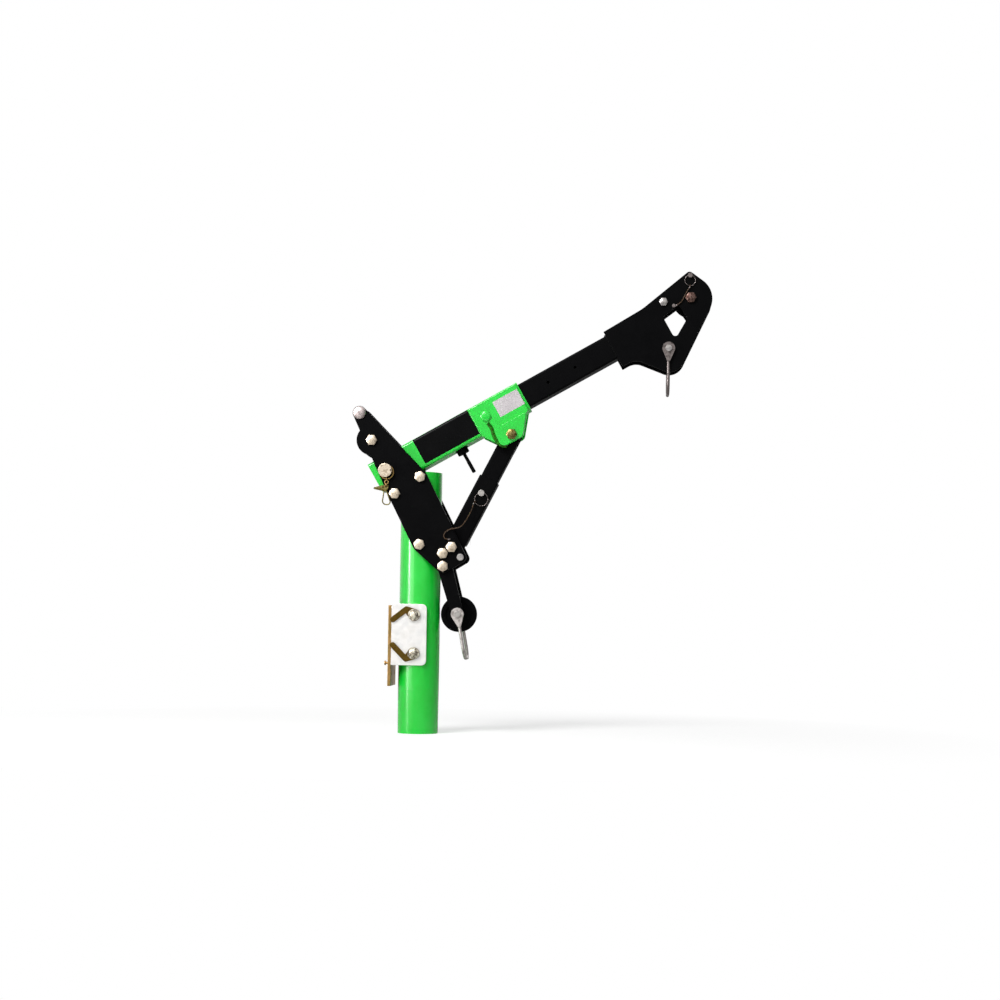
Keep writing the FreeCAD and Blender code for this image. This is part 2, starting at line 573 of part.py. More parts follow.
# Cross pin through the sleeve, in the inner boom's slot
cross_pin = body("cross_pin", BOOM)
slab(cross_pin, f"0 - {gusset_outer} - cross_pin_head_height", f"0 - {gusset_outer}",
     hexagon("cross_pin_s", "0", "cross_pin_head"))
slab(cross_pin, f"0 - {gusset_outer}", f"{gusset_outer} + bolt_end",
     circle("cross_pin_s", "0", "cross_pin_diameter"))

# Clamp boss under the sleeve, and the clamp screw that bears on the inner boom
clamp_boss = body("clamp_boss", BOOM)
post(clamp_boss, f"0 - {sleeve_half} - clamp_boss_height", f"0 - {sleeve_half}",
     circle("clamp_s", "0", "clamp_boss_diameter"),
     circle("clamp_s", "0", "clamp_diameter + 2 * hole_clearance"))
clamp_hole = new_sketch(sleeve, "XY_Plane", f"0 - {sleeve_half}")
draw_belt(clamp_hole, circle("clamp_s", "0", "clamp_diameter + 2 * hole_clearance"))
clamp_pocket = sleeve.newObject("PartDesign::Pocket", "ClampHole")
clamp_pocket.Profile = clamp_hole
clamp_pocket.Reversed = True
bind(clamp_pocket, "Length", "sleeve_wall")
clamp_screw = body("clamp_screw", BOOM)
post(clamp_screw, "0 - clamp_end", "0 - inner_side / 2 - running_gap / 2",
     circle("clamp_s", "0", "clamp_diameter"))

# Inner boom tube: the slot rides on the cross pin, and small holes at the same pitch go on along it
inner_half = "(inner_side / 2)"
inner = body("boom_inner_tube", BOOM)
bar(inner, "inner_tail", "inner_front", square("inner_side", "inner_corner"),
    square("inner_side", "inner_corner - inner_wall / 2", "inner_wall"))
inner_cut = f"{inner_half} + cut_overrun"
slot_radius = "(cross_pin_diameter / 2 + hole_clearance)"
drill(inner, f"0 - ({inner_cut})", inner_cut,
      capsule("cross_pin_s", "0", "cross_pin_s + hole_pitch", "0", slot_radius))
for step in range(2):
    drill(inner, f"0 - ({inner_cut})", inner_cut,
          circle(f"hole_first + {step} * hole_pitch", "0", "boom_hole_diameter"))

# Head plates with their window, on the sides of the inner boom
head_outer = f"({inner_half} + head_thickness)"
head_outline = [
    ("head_start", "head_top", 0),
    ("head_start", "0 - head_heel", 0),
    ("sweep_s", "0 - sweep_drop", "0 - sweep_radius"),
    ("lobe_s", "0 - lobe_drop", "lobe_radius"),
    ("nose_s", "nose_rise", "nose_radius"),
    ("beak_s", "beak_rise", "beak_radius"),
    ("bend_s", "bend_low + bend_radius", "0 - bend_radius"),
]
window = [
    ("window_left + window_small_corner", "window_top - 2 * window_small_corner", "window_small_corner"),
    ("window_heel_s", "window_corner - window_foot", "window_corner"),
    ("window_right - window_small_corner", "0 - window_right_drop", "window_small_corner"),
    ("window_right - window_corner", "window_top - window_small_corner", "window_small_corner"),
]
axle = ("axle_s", "axle_rise")
guard = ("guard_s", "guard_rise")
for side, (low, high) in spans(inner_half, head_outer).items():
    plate = body(f"head_plate_{side}", BOOM)
    slab(plate, low, high, head_outline)
    drill(plate, low, high, window, circle(*axle, bolt_hole), circle(*guard, "guard_diameter"),
          circle("bail_s", "0 - bail_drop", "bail_pin_diameter + 2 * hole_clearance"),
          circle("keeper_s", "keeper_rise", "keeper_diameter + 2 * hole_clearance"))
head_axle = body("head_axle", BOOM)
hex_bolt(head_axle, *axle, head_outer, "bolt_diameter", "bolt_flats", "head_height", "nut_height")
spacer_pair("head_axle_spacers", *axle, sheave_side, inner_half, "axle_spacer_diameter", "bolt_diameter",
            BOOM)
head_guard = body("head_guard_bolt", BOOM)
hex_bolt(head_guard, *guard, head_outer, "guard_diameter", "guard_flats", "guard_head_height",
         "guard_nut_height")
guard_tube = body("head_guard_spacer", BOOM)
slab(guard_tube, f"0 - {inner_half}", inner_half, circle(*guard, "guard_tube_diameter"),
     circle(*guard, "guard_diameter"))
head_nuts = body("head_nuts", BOOM)
hex_nut(head_nuts, *axle, head_outer, "bolt_diameter", "bolt_flats", "nut_height")
hex_nut(head_nuts, *guard, head_outer, "guard_diameter", "guard_flats", "guard_nut_height")
anchor = body("keeper_anchor", BOOM)
slab(anchor, f"0 - {head_outer} - anchor_height", f"0 - {head_outer}",
     circle("anchor_s", "anchor_rise", "anchor_diameter"))

# Head bail, hanging plumb from its own pin
head_pin = body("head_bail_pin", BOOM)
bail_pin(head_pin, "bail_s", "0 - bail_drop", head_outer, "bail_pin_diameter")
bail("head_bail", head_outer, BOOM, "bail_s", "0 - bail_drop", value("boom_angle"))

# Strut: the outer tube's sides run on as round ears to the foot bolt
strut_outer = body("strut_outer_tube", STRUT)
bar(strut_outer, "strut_cope", "strut_length", square("strut_side", "strut_corner"),
    square("strut_side", "strut_corner - strut_wall + tube_gap", "strut_wall"))
ear_spans = spans("strut_side / 2 - strut_wall", "strut_side / 2")
for low, high in ear_spans.values():
    slab(strut_outer, low, high, [("0", "0", "foot_ear_radius"), ("ear_length", "0", "strut_side / 2")])
strut_cut = "(strut_side / 2 + cut_overrun)"
drill(strut_outer, f"0 - {strut_cut}", strut_cut, circle("0", "0", bolt_hole),
      circle("strut_pin_s", "0", "strut_pin_diameter + 2 * hole_clearance"))

# Inner tube, with the slot that rides on the strut pin and round ears at its top bolt
strut_inner = body("strut_inner_tube", STRUT)
reach = str(STRUT_REACH)
bar(strut_inner, "strut_inner_tail", f"{reach} - strut_cope",
    square("strut_inner_side", "strut_inner_corner"),
    square("strut_inner_side", "strut_inner_corner - strut_inner_wall / 2", "strut_inner_wall"))
for low, high in spans("strut_inner_side / 2 - strut_inner_wall", "strut_inner_side / 2").values():
    slab(strut_inner, low, high, capsule(f"{reach} - ear_length", "0", reach, "0", "strut_inner_side / 2"))
strut_slot = "(strut_pin_diameter / 2 + hole_clearance)"
drill(strut_inner, f"0 - {strut_cut}", strut_cut,
      circle(reach, "0", "strut_bolt_diameter + 2 * strut_bolt_slack"),
      capsule("strut_pin_s - strut_travel", "0", "strut_pin_s", "0", strut_slot))

# Boom pivot pin: shank through plates and sleeve, and a head with a notch in its rim
pivot_pin = body("pivot_pin")
pivot_face = f"(0 - {plate_outer} - pivot_ring_gap)"
slab(pivot_pin, f"{pivot_face} - pivot_head_height", pivot_face, circle(*PIVOT, "pivot_head_diameter"))
slab(pivot_pin, pivot_face, f"{plate_outer} + pivot_pin_end", circle(*PIVOT, "pivot_pin_diameter"))
drill(pivot_pin, f"{pivot_face} - pivot_head_height", f"{pivot_face} - pivot_head_height + notch_depth",
      circle("pivot_x + pivot_head_diameter / 2", "mast_length", "notch_size"))

FACE_ON = FreeCAD.Vector(0, 1, 0)
EDGE_ON = FreeCAD.Vector(1, 0, 0)


# Ring of round wire, seen face on or edge on
def torus(label, major, minor, centre, axis):
    item = doc.addObject("Part::Torus", label)
    item.Label = label
    bind(item, "Radius1", major)
    bind(item, "Radius2", minor)
    item.Placement = FreeCAD.Placement(centre, FreeCAD.Rotation(FreeCAD.Vector(0, 0, 1), axis))
    return item


# Ring on the pivot pin's shank, and the chain of links under it
ring_y = value(f"0 - {plate_outer} - pivot_ring_gap + ring_wire + running_gap")
chain_x = value("pivot_x + ring_offset_x")
wire_z = value("mast_length - ring_offset_z - pivot_ring_radius")
chain = [torus("pivot_ring", "pivot_ring_radius", "ring_wire",
               FreeCAD.Vector(chain_x, ring_y, value("mast_length - ring_offset_z")), FACE_ON)]
wire_above = value("ring_wire")
for number in range(3):
    link_z = wire_z + wire_above + value("link_wire + link_gap - link_radius")
    axis = FACE_ON if number % 2 else EDGE_ON
    centre = FreeCAD.Vector(chain_x, ring_y, link_z)
    chain.append(torus(f"chain_link_{number}", "link_radius", "link_wire", centre, axis))
    wire_z = link_z - value("link_radius")
    wire_above = value("link_wire")
pivot_rings = doc.addObject("Part::Compound", "pivot_pin_rings")
pivot_rings.Label = "pivot_pin_rings"
pivot_rings.Links = chain
NODES["pivot_pin_rings"] = pivot_rings


# Share of the shorter run that a bend of a cord takes on each side
ARC_SHARE = 0.45


# Wire or cord along a path of straight runs joined by tangent arcs
def cord(label, points, diameter):
    places = [FreeCAD.Vector(*point) for point in points]
    edges = []
    start = places[0]
    radii = []
    for before, corner, after in zip(places, places[1:], places[2:]):
        back, ahead = (before - corner), (after - corner)
        half_turn = (math.pi - back.getAngle(ahead)) / 2
        reach = ARC_SHARE * min(back.Length, ahead.Length)
        radii.append(reach / math.tan(half_turn))
        back.normalize()
        ahead.normalize()
        enter, leave = corner + back * reach, corner + ahead * reach
        inward = back + ahead
        inward.normalize()
        middle = corner + inward * (radii[-1] * (1 / math.cos(half_turn) - 1))
        edges += [Part.LineSegment(start, enter).toShape(), Part.Arc(enter, middle, leave).toShape()]
        start = leave
    edges.append(Part.LineSegment(start, places[-1]).toShape())
    path = Part.Wire(edges)
    section = Part.Wire([Part.Circle(places[0], places[1] - places[0], diameter / 2).toShape()])
    item = doc.addObject("Part::Feature", label)
    item.Label = label
    item.Shape = path.makePipeShell([section], True, True)
    plain = math.pi * diameter ** 2 / 4 * path.Length
    print(label, "arc radii", [round(radius, 1) for radius in radii], "length", round(path.Length, 1),
          "volume over section times length", round(item.Shape.Volume / plain, 4))
    return item


# Linchpin: a flat tapered key that hangs by its eye on the last link, with a wire loop under it
link_hole_z = link_z - value("linchpin_wall / 2 + linchpin_drop + linchpin_hole")
key = loose_body("linchpin_key", MAST, 0, ring_y, 0)
key_half = "linchpin_thickness / 2"
heel_z = below("linchpin_heel_drop")
slab(key, f"0 - {key_half}", key_half,
     [("linchpin_tip_x", below("linchpin_tip_drop"), "linchpin_tip"),
      ("linchpin_heel_x", heel_z, "linchpin_heel"),
      (str(chain_x), str(link_hole_z), "linchpin_eye")],
     [(str(chain_x), str(link_hole_z), "linchpin_hole")])
LOOP_ROUTE = (
    ("linchpin_heel_x - loop_root", heel_z),
    ("linchpin_heel_x - loop_left", f"{heel_z} - loop_drop"),
    ("linchpin_heel_x + loop_right", f"{heel_z} - loop_drop"),
    ("linchpin_heel_x + loop_root", heel_z),
)
loop = cord("linchpin_loop", [(value(x), ring_y, value(z)) for x, z in LOOP_ROUTE], value("2 * loop_wire"))
linchpin = doc.addObject("Part::MultiFuse", "linchpin")
linchpin.Label = "linchpin"
linchpin.Shapes = [key, loop]
NODES["linchpin"] = linchpin


# Quick pin with a flat head that its split ring passes through
def quick_pin(label, x, z, grip, head_diameter, head_height, diameter, end, ring_radius, hole_radius):
    pin = body(label, MAST, x, 0, z)
    face = f"(0 - ({grip}) - running_gap)"
    slab(pin, f"{face} - {head_height}", face, circle("0", "0", head_diameter))
    slab(pin, face, f"({grip}) + {end}", circle("0", "0", diameter))
    cross = new_sketch(pin, "YZ_Plane", head_diameter)
    draw_circle(cross, f"{face} - {head_height} / 2", "0", hole_radius)
    pocket = pin.newObject("PartDesign::Pocket", "RingHole")
    pocket.Profile = cross
    bind(pocket, "Length", f"2 * {head_diameter}")
    centre = FreeCAD.Vector(x, value(f"{face} - {head_height} / 2"), z + value(f"ring_sag - {ring_radius}"))
    NODES[f"{label}_ring"] = torus(f"{label}_ring", ring_radius, "split_ring_wire", centre, FACE_ON)
    return centre


strut_pin = STRUT.multVec(FreeCAD.Vector(value("strut_pin_s"), 0, 0))
strut_ring = quick_pin("strut_pin", strut_pin.x, strut_pin.z, "strut_side / 2", "pin_head_diameter",
                       "pin_head_height", "strut_pin_diameter", "pin_end", "split_ring_radius",
                       "ring_hole_radius")
keeper_pin = BOOM.multVec(FreeCAD.Vector(value("keeper_s"), 0, value("keeper_rise")))
keeper_ring = quick_pin("keeper_pin", keeper_pin.x, keeper_pin.z, head_outer, "keeper_head_diameter",
                        "keeper_head_height", "keeper_diameter", "keeper_end", "keeper_ring_radius",
                        "keeper_hole_radius")

# Wire lanyards, from each split ring to the tab and to the anchor. A route's point is its shares of the way
# from the ring's centre to the lanyard's end, along x, y and z.
tab_side = f"0 - {plate_outer} - tab_thickness - lanyard_diameter / 2 - lanyard_gap"
tab_end = FreeCAD.Vector(value(foot_x), value(tab_side), value(f"{foot_z} + tab_reach"))
anchor_side = f"0 - {head_outer} - anchor_height / 2 - lanyard_gap"
anchor_end = BOOM.multVec(FreeCAD.Vector(value("anchor_s"), value(anchor_side), value("anchor_rise")))
LANYARD_ENDS = {"strut_lanyard": (strut_ring, tab_end), "keeper_lanyard": (keeper_ring, anchor_end)}
LANYARD_SHARES = {
    "strut_lanyard": (
        (0.2587, 0.006, 0.0772), (0.3122, 0.28, 0.2602), (0.4281, 0.58, 0.4351), (0.5512, 0.88, 0.6001),
        (0.6959, 1.063, 0.7251), (0.9421, 1.063, 0.7501), (1.181, 1.063, 0.8), (1.3041, 1.048, 0.92),
        (1.2244, 1.018, 1.035), (1.0434, 1, 1.015),
    ),
    "keeper_lanyard": (
        (-0.0082, 0.045, 0.252), (0.2065, 0.045, 0.4435), (0.3832, 0.136, 0.7014), (0.5852, 0.59, 0.8991),
        (0.8756, 1, 0.9988),
    ),
}
for label, shares in LANYARD_SHARES.items():
    start, end = LANYARD_ENDS[label]
    run = end - start
    points = [(start.x + x * run.x, start.y + y * run.y, start.z + z * run.z) for x, y, z in shares]
    NODES[label] = cord(label, points, value("lanyard_diameter"))

# Winch bracket on the mast's back: two cheeks, a drilled back plate with studs, two bolts and four arms
cheek_outer = f"({plate_inner} + cheek_thickness)"
cheek_low, cheek_high = below("cheek_low_drop"), below("cheek_high_drop")
back_front = behind("back_gap")
cheek_outline = [
    (back_front, cheek_high, 0),
    (back_front, cheek_low, 0),
    ("cheek_front - cheek_corner", f"{cheek_low} + cheek_corner", "cheek_corner"),
    ("cheek_front - cheek_corner", f"{cheek_high} - cheek_corner", "cheek_corner"),
]
for side, (low, high) in spans(plate_inner, cheek_outer).items():
    cheek = body(f"bracket_cheek_{side}")
    slab(cheek, low, high, cheek_outline,
         *[circle("bracket_bolt_x", level, "bracket_bolt_diameter") for level in bracket_levels])
back = body("bracket_back_plate")
back_rear = f"({back_front} - back_thickness)"
back_low, back_high = below("back_low_drop"), below("back_high_drop")
back_outline = [
    (f"0 - {cheek_outer}", back_low, 0),
    (cheek_outer, back_low, 0),
    (cheek_outer, back_high, 0),
    (f"0 - {cheek_outer}", back_high, 0),
]
winch_holes = [(y, z, "winch_hole_diameter / 2") for y in ("winch_hole_y", "0 - winch_hole_y")
               for z in (below("winch_low_drop"), below("winch_high_drop"))]
bar(back, back_rear, back_front, back_outline, *[[hole] for hole in winch_holes])
stud_z = below("stud_drop")
for stud in ("stud_y", "0 - stud_y"):
    bar(back, f"{back_rear} - stud_length", back_rear, [(stud, stud_z, "stud_diameter / 2")])
    bar(back, f"{back_rear} - stud_length - stud_head_height", f"{back_rear} - stud_length",
        [(stud, stud_z, "stud_head_diameter / 2")])

arms_outer = f"({cheek_outer} + bracket_arm_thickness)"
arm_turns = (("elbow_rise", below("root_high_drop")), ("0 - elbow_rise", below("root_low_drop")))
bracket_arms = body("bracket_arms")
bracket_bolts = body("bracket_bolts")
bracket_nuts = body("bracket_nuts")
washer_outer = f"({arms_outer} + bracket_washer_thickness)"
for level, (rise, root) in zip(bracket_levels, arm_turns):
    elbow = ("bracket_bolt_x - elbow_back", f"{level} + {rise}", "bracket_arm_half_width")
    for low, high in spans(cheek_outer, arms_outer).values():
        slab(bracket_arms, low, high, [("bracket_bolt_x", level, "bracket_washer_diameter / 2"), elbow])
        slab(bracket_arms, low, high, [elbow, (behind("arm_root_reach"), root, "bracket_arm_half_width")])
        drill(bracket_arms, low, high, circle("bracket_bolt_x", level, "bracket_bolt_diameter"))
    slab(bracket_bolts, f"0 - {washer_outer}", f"0 - {arms_outer}",
         circle("bracket_bolt_x", level, "bracket_washer_diameter"))
    slab(bracket_bolts, f"0 - {washer_outer} - bracket_head_height", f"0 - {washer_outer}",
         circle("bracket_bolt_x", level, "bracket_head_diameter"))
    slab(bracket_bolts, f"0 - {arms_outer}", f"{arms_outer} + guard_nut_height + bolt_end",
         circle("bracket_bolt_x", level, "bracket_bolt_diameter"))
    hex_nut(bracket_nuts, "bracket_bolt_x", level, arms_outer, "bracket_bolt_diameter", "guard_flats",
            "guard_nut_height")

# Check every object, then write one file for each node
doc.recompute()
for item in doc.Objects:
    if any(flag in item.State for flag in ("Invalid", "Error")):
        raise RuntimeError(f"{item.Label} did not build")
os.makedirs("parts", exist_ok=True)
for label, item in NODES.items():
    if item.Shape.isNull() or not item.Shape.isValid():
        raise RuntimeError(f"{label} has no valid shape")
    item.Shape.exportStep(f"parts/{label}.step")
print(len(NODES), "nodes")
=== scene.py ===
"""Looks of a portable davit arm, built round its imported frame.

Places and sizes come from the frame where it has them. Other sizes are real ones, written as millimetres
times MM. Boom pieces are placed through BoomAxes: s along the boom from its pivot, y across it, and q
square to it.
"""

import json
import logging
import math
from dataclasses import dataclass, field, replace
from enum import Enum
from typing import Any, ClassVar, Sequence

import bmesh
import bpy
from mathutils import Matrix, Vector
from mathutils.geometry import interpolate_bezier


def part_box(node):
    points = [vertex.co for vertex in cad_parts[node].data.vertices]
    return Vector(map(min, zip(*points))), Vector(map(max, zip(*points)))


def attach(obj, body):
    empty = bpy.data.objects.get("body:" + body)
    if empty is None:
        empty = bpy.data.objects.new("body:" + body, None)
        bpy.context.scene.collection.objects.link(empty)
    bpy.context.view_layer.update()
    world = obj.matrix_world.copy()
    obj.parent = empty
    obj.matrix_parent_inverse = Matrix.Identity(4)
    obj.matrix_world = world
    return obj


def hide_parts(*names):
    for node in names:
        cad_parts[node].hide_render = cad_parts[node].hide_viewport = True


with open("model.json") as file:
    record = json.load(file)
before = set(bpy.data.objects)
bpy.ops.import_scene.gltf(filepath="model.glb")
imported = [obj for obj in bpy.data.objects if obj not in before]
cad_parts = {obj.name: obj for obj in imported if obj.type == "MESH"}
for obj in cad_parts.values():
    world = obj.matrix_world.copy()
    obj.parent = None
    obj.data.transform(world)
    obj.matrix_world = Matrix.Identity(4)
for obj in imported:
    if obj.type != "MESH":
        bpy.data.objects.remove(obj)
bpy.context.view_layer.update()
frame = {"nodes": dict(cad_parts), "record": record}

MM = 0.001
LOG = logging.getLogger("davit_arm")

Sketch = bmesh.types.BMesh
Corner = bmesh.types.BMVert
Edge = bmesh.types.BMEdge
Socket = bpy.types.NodeSocket
Tree = bpy.types.NodeTree

BODY_OF = {node: body for body, nodes in frame["record"]["behaviour"]["bodies"].items() for node in nodes}
SLOT_OF = {part["node"]: part["material_slot"] for part in frame["record"]["subparts"]}


class Slot(Enum):
    """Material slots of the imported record."""

    GREEN_PAINT = "green_paint"
    BLACK_PAINT = "black_paint"
    PALE_ZINC = "pale_zinc"
    BARE_STEEL = "bare_steel"
    YELLOW_ZINC = "yellow_zinc"
    BRONZE = "bronze"
    BLACK_NYLON = "black_nylon"
    LANYARD_WIRE = "lanyard_wire"


class Side(Enum):
    """Side of the davit that a piece is on, as the sign of its Y direction."""

    NEAR = -1
    FAR = 1


def linear(code: str) -> tuple[float, float, float, float]:
    """Turns an sRGB hex colour into linear light.

    Args:
        code: Colour as #RRGGBB.

    Returns:
        Red, green, blue and alpha.
    """
    shades = [int(code[place:place + 2], 16) / 255 for place in (1, 3, 5)]
    light = [shade / 12.92 if shade <= 0.04045 else ((shade + 0.055) / 1.055) ** 2.4 for shade in shades]
    return light[0], light[1], light[2], 1.0


def add_node(tree: Tree, kind: str, settings: dict[Any, Any] | None = None,
             links: dict[Any, Socket] | None = None) -> bpy.types.Node:
    """Adds a shader node with its settings and links.

    Args:
        tree: Node tree that gets the node.
        kind: Node's type without the word ShaderNode.
        settings: Values by input name or number, or by the node's own property.
        links: Sockets that feed the node's inputs, by input name or number.

    Returns:
        The new node.
    """
    node = tree.nodes.new(f"ShaderNode{kind}")
    for name, value in (settings or {}).items():
        if isinstance(name, int) or name in node.inputs:
            node.inputs[name].default_value = value
        else:
            setattr(node, name, value)
    for name, socket in (links or {}).items():
        tree.links.new(socket, node.inputs[name])
    return node


@dataclass(frozen=True)
class Finish:
    """Surface of one metal, paint or plastic. Its lengths are in millimetres.

    Attributes:
        label: Common name of the finish.
        tones: Two or more sRGB colours that the surface wanders between.
        cloud: Size of the colour's patches.
        roughness: Smoothest and dullest value.
        metallic: 1 for bare or plated metal.
        grain: Size of the surface's bumps.
        relief: Depth of those bumps.
        edge: Radius of the rounded edge that catches light.
        gloss: Specular level of a paint or plastic.
        coat: Weight of a clear outer layer.
        edge_highlight: sRGB colour of a painted highlight along the edges.
        edge_highlight_share: Strength of that painted edge highlight, from 0 to 1.
        coat_roughness: Roughness of the clear outer layer.
        smear: Size of the dull patches over the size of the colour's.
        tone_band: Noise values over which the tones are spread.
        dull_band: Noise values over which the roughness goes from its smoothest to its dullest.
        edge_highlight_band: Cosines of the edge's turn over which the painted edge highlight grows to full.
        patch_band: Noise values over which the painted edge highlight breaks up.
    """

    label: str
    tones: tuple[str, ...]
    cloud: float
    roughness: tuple[float, float]
    metallic: float = 0.0
    grain: float = 1.5
    relief: float = 0.01
    edge: float = 0.5
    gloss: float = 0.5
    coat: float = 0.0
    edge_highlight: str = ""
    edge_highlight_share: float = 0.0
    coat_roughness: ClassVar[float] = 0.08
    smear: ClassVar[float] = 0.35
    tone_band: ClassVar[tuple[float, float]] = (0.35, 0.65)
    dull_band: ClassVar[tuple[float, float]] = (0.3, 0.7)
    edge_highlight_band: ClassVar[tuple[float, float]] = (0.99, 0.85)
    patch_band: ClassVar[tuple[float, float]] = (0.42, 0.58)

    def material(self) -> bpy.types.Material:
        """Builds the finish as a node material.

        Returns:
            The material.
        """
        made = bpy.data.materials.new(self.label)
        made.use_nodes = True
        tree = made.node_tree
        tree.nodes.clear()
        place = add_node(tree, "TexCoord").outputs["Object"]
        cloud = add_node(tree, "TexNoise", {"Scale": 1 / (self.cloud * MM), "Detail": 4.0}, {"Vector": place})
        tint = add_node(tree, "ValToRGB", links={"Fac": cloud.outputs["Fac"]})
        stops = tint.color_ramp.elements
        while len(stops) < len(self.tones):
            stops.new(0.5)
        low, high = self.tone_band
        for number, tone in enumerate(self.tones):
            stops[number].position = low + (high - low) * number / (len(self.tones) - 1)
            stops[number].color = linear(tone)
        smear = add_node(tree, "TexNoise", {"Scale": 1 / (self.smear * self.cloud * MM), "Detail": 6.0},
                         {"Vector": place})
        dull = add_node(tree, "MapRange", {"From Min": self.dull_band[0], "From Max": self.dull_band[1],
                                           "To Min": self.roughness[0], "To Max": self.roughness[1]},
                        {"Value": smear.outputs["Fac"]})
        grain = add_node(tree, "TexNoise", {"Scale": 1 / (self.grain * MM), "Detail": 2.0}, {"Vector": place})
        soft = add_node(tree, "Bevel", {"Radius": self.edge * MM, "samples": 4}).outputs["Normal"]
        bump = add_node(tree, "Bump", {"Distance": self.relief * MM, "Strength": 1.0},
                        {"Height": grain.outputs["Fac"], "Normal": soft})
        colour = tint.outputs["Color"]
        # Painted highlight along the edges, broken up in patches
        if self.edge_highlight:
            colour = self._painted_edge_highlight(tree, colour, soft, smear.outputs["Fac"])
        skin = add_node(tree, "BsdfPrincipled",
                        {"Metallic": self.metallic, "Specular IOR Level": self.gloss,
                         "Coat Weight": self.coat, "Coat Roughness": self.coat_roughness},
                        {"Base Color": colour, "Roughness": dull.outputs["Result"],
                         "Normal": bump.outputs["Normal"]})
        add_node(tree, "OutputMaterial", links={"Surface": skin.outputs["BSDF"]})
        return made

    def _painted_edge_highlight(self, tree: Tree, colour: Socket, rounded: Socket, patches: Socket) -> Socket:
        """Mixes in the colour of a painted highlight where the rounded edge turns away from the flat face.

        Args:
            tree: Node tree of the material.
            colour: Colour of the whole surface.
            rounded: Normal of the rounded edge.
            patches: Noise that breaks the painted highlight up.

        Returns:
            Socket of the mixed colour.
        """
        face = add_node(tree, "NewGeometry").outputs["Normal"]
        agree = add_node(tree, "VectorMath", {"operation": "DOT_PRODUCT"}, {0: face, 1: rounded})
        turn = add_node(tree, "MapRange", {"From Min": self.edge_highlight_band[0], "From Max": self.edge_highlight_band[1],
                                           "To Min": 0.0, "To Max": self.edge_highlight_share},
                        {"Value": agree.outputs["Value"]})
        broken = add_node(tree, "MapRange", {"From Min": self.patch_band[0], "From Max": self.patch_band[1]},
                          {"Value": patches})
        amount = add_node(tree, "Math", {"operation": "MULTIPLY"},
                          {0: turn.outputs["Result"], 1: broken.outputs["Result"]})
        mixed = add_node(tree, "Mix", {"data_type": "RGBA", "B": linear(self.edge_highlight)},
                         {"Factor": amount.outputs["Value"], "A": colour})
        return mixed.outputs["Result"]


# Polyester powder coat in a bright green: glossy, with a faint orange peel and a pale painted highlight along
# its edges
GREEN_COAT = Finish("green_powder_coat", ("#10D634", "#1CDF42"), cloud=60, roughness=(0.2, 0.27), grain=2.2,
                    relief=0.008, edge=0.8, gloss=0.55, coat=0.3, edge_highlight="#7CC27C", edge_highlight_share=0.25)
# Black powder coat over steel plate: deep and even, with a thin grey painted highlight along its edges
BLACK_COAT = Finish("black_powder_coat", ("#020203", "#040405"), cloud=45, roughness=(0.4, 0.5), grain=1.6,
                    relief=0.012, edge=0.9, gloss=0.04, edge_highlight="#3A3936", edge_highlight_share=0.3)
# Bright zinc with a pale pink and yellow passivate, as on plated bolts: creamy, with a crystal bloom
PALE_ZINC = Finish("pale_zinc_plate", ("#BDAE9A", "#D8CAB6", "#A89883"), cloud=7, roughness=(0.3, 0.42),
                   metallic=1.0, grain=0.9, relief=0.006, edge=0.5)
# Bright zinc with a clear passivate, as on the winch bracket's cheeks: nearly white and faintly clouded
CLEAR_ZINC = Finish("clear_zinc_plate", ("#EFEDEA", "#F4F2F0", "#EBEAE9"), cloud=26, roughness=(0.3, 0.42),
                    metallic=0.75, grain=1.2, relief=0.004, edge=0.6)
# Stainless and plain turned steel: grey, with fine drawn marks
BARE_STEEL = Finish("bare_steel", ("#A6A29F", "#BAB6B2", "#949090"), cloud=12, roughness=(0.26, 0.38),
                    metallic=1.0, grain=0.9, relief=0.003, edge=0.5)
# Forged steel that is handled and left bare: darker, brownish grey
DARK_STEEL = Finish("handled_steel", ("#645C5A", "#7E7674", "#4C4644"), cloud=10, roughness=(0.3, 0.42),
                    metallic=1.0, grain=1.2, relief=0.004, edge=0.5)
# Yellow chromate on zinc: dull gold that drifts slowly to brown and olive
YELLOW_ZINC = Finish("yellow_chromate_zinc", ("#8C7544", "#9C7D4A", "#A98656", "#97814C"), cloud=55,
                     roughness=(0.28, 0.42), metallic=1.0, grain=1.0, relief=0.006, edge=0.5)
# The yellow chromate of the back plate on the bracket's arms, made a darker olive brown as painted shade
CHROMATE_ZINC_PAINTED_SHADE = Finish("chromate_zinc_painted_shade", ("#4E3E16", "#60491D", "#56441A", "#4A4018"), cloud=20,
                    roughness=(0.3, 0.44), metallic=1.0, grain=1.0, relief=0.006, edge=0.5)
# Turned steel with a thin clear passivate, as on the domed tip bolt: faintly pink
TURNED_STEEL = Finish("clear_passivated_steel", ("#B4A8A6", "#C8BCBA", "#9C908E"), cloud=9,
                      roughness=(0.32, 0.44), metallic=1.0, grain=0.8, relief=0.004, edge=0.5)
# Zinc that has dulled and spotted in the weather, as on the bracket's bolts
SPOTTED_ZINC = Finish("weathered_zinc", ("#DDD9C9", "#C2B8A6", "#5E564D", "#D4CFBE"), cloud=12,
                      roughness=(0.32, 0.46), metallic=1.0, grain=1.0, relief=0.01, edge=0.5)
# Bare steel as on the head axle, in a dark red-brown whose darkness is painted shade
STEEL_PAINTED_SHADE = Finish("dark_red_steel_painted_shade", ("#36241F", "#55403A", "#7C655D", "#2A1B18"), cloud=6,
                       roughness=(0.3, 0.42), metallic=1.0, grain=0.8, relief=0.008, edge=0.5)
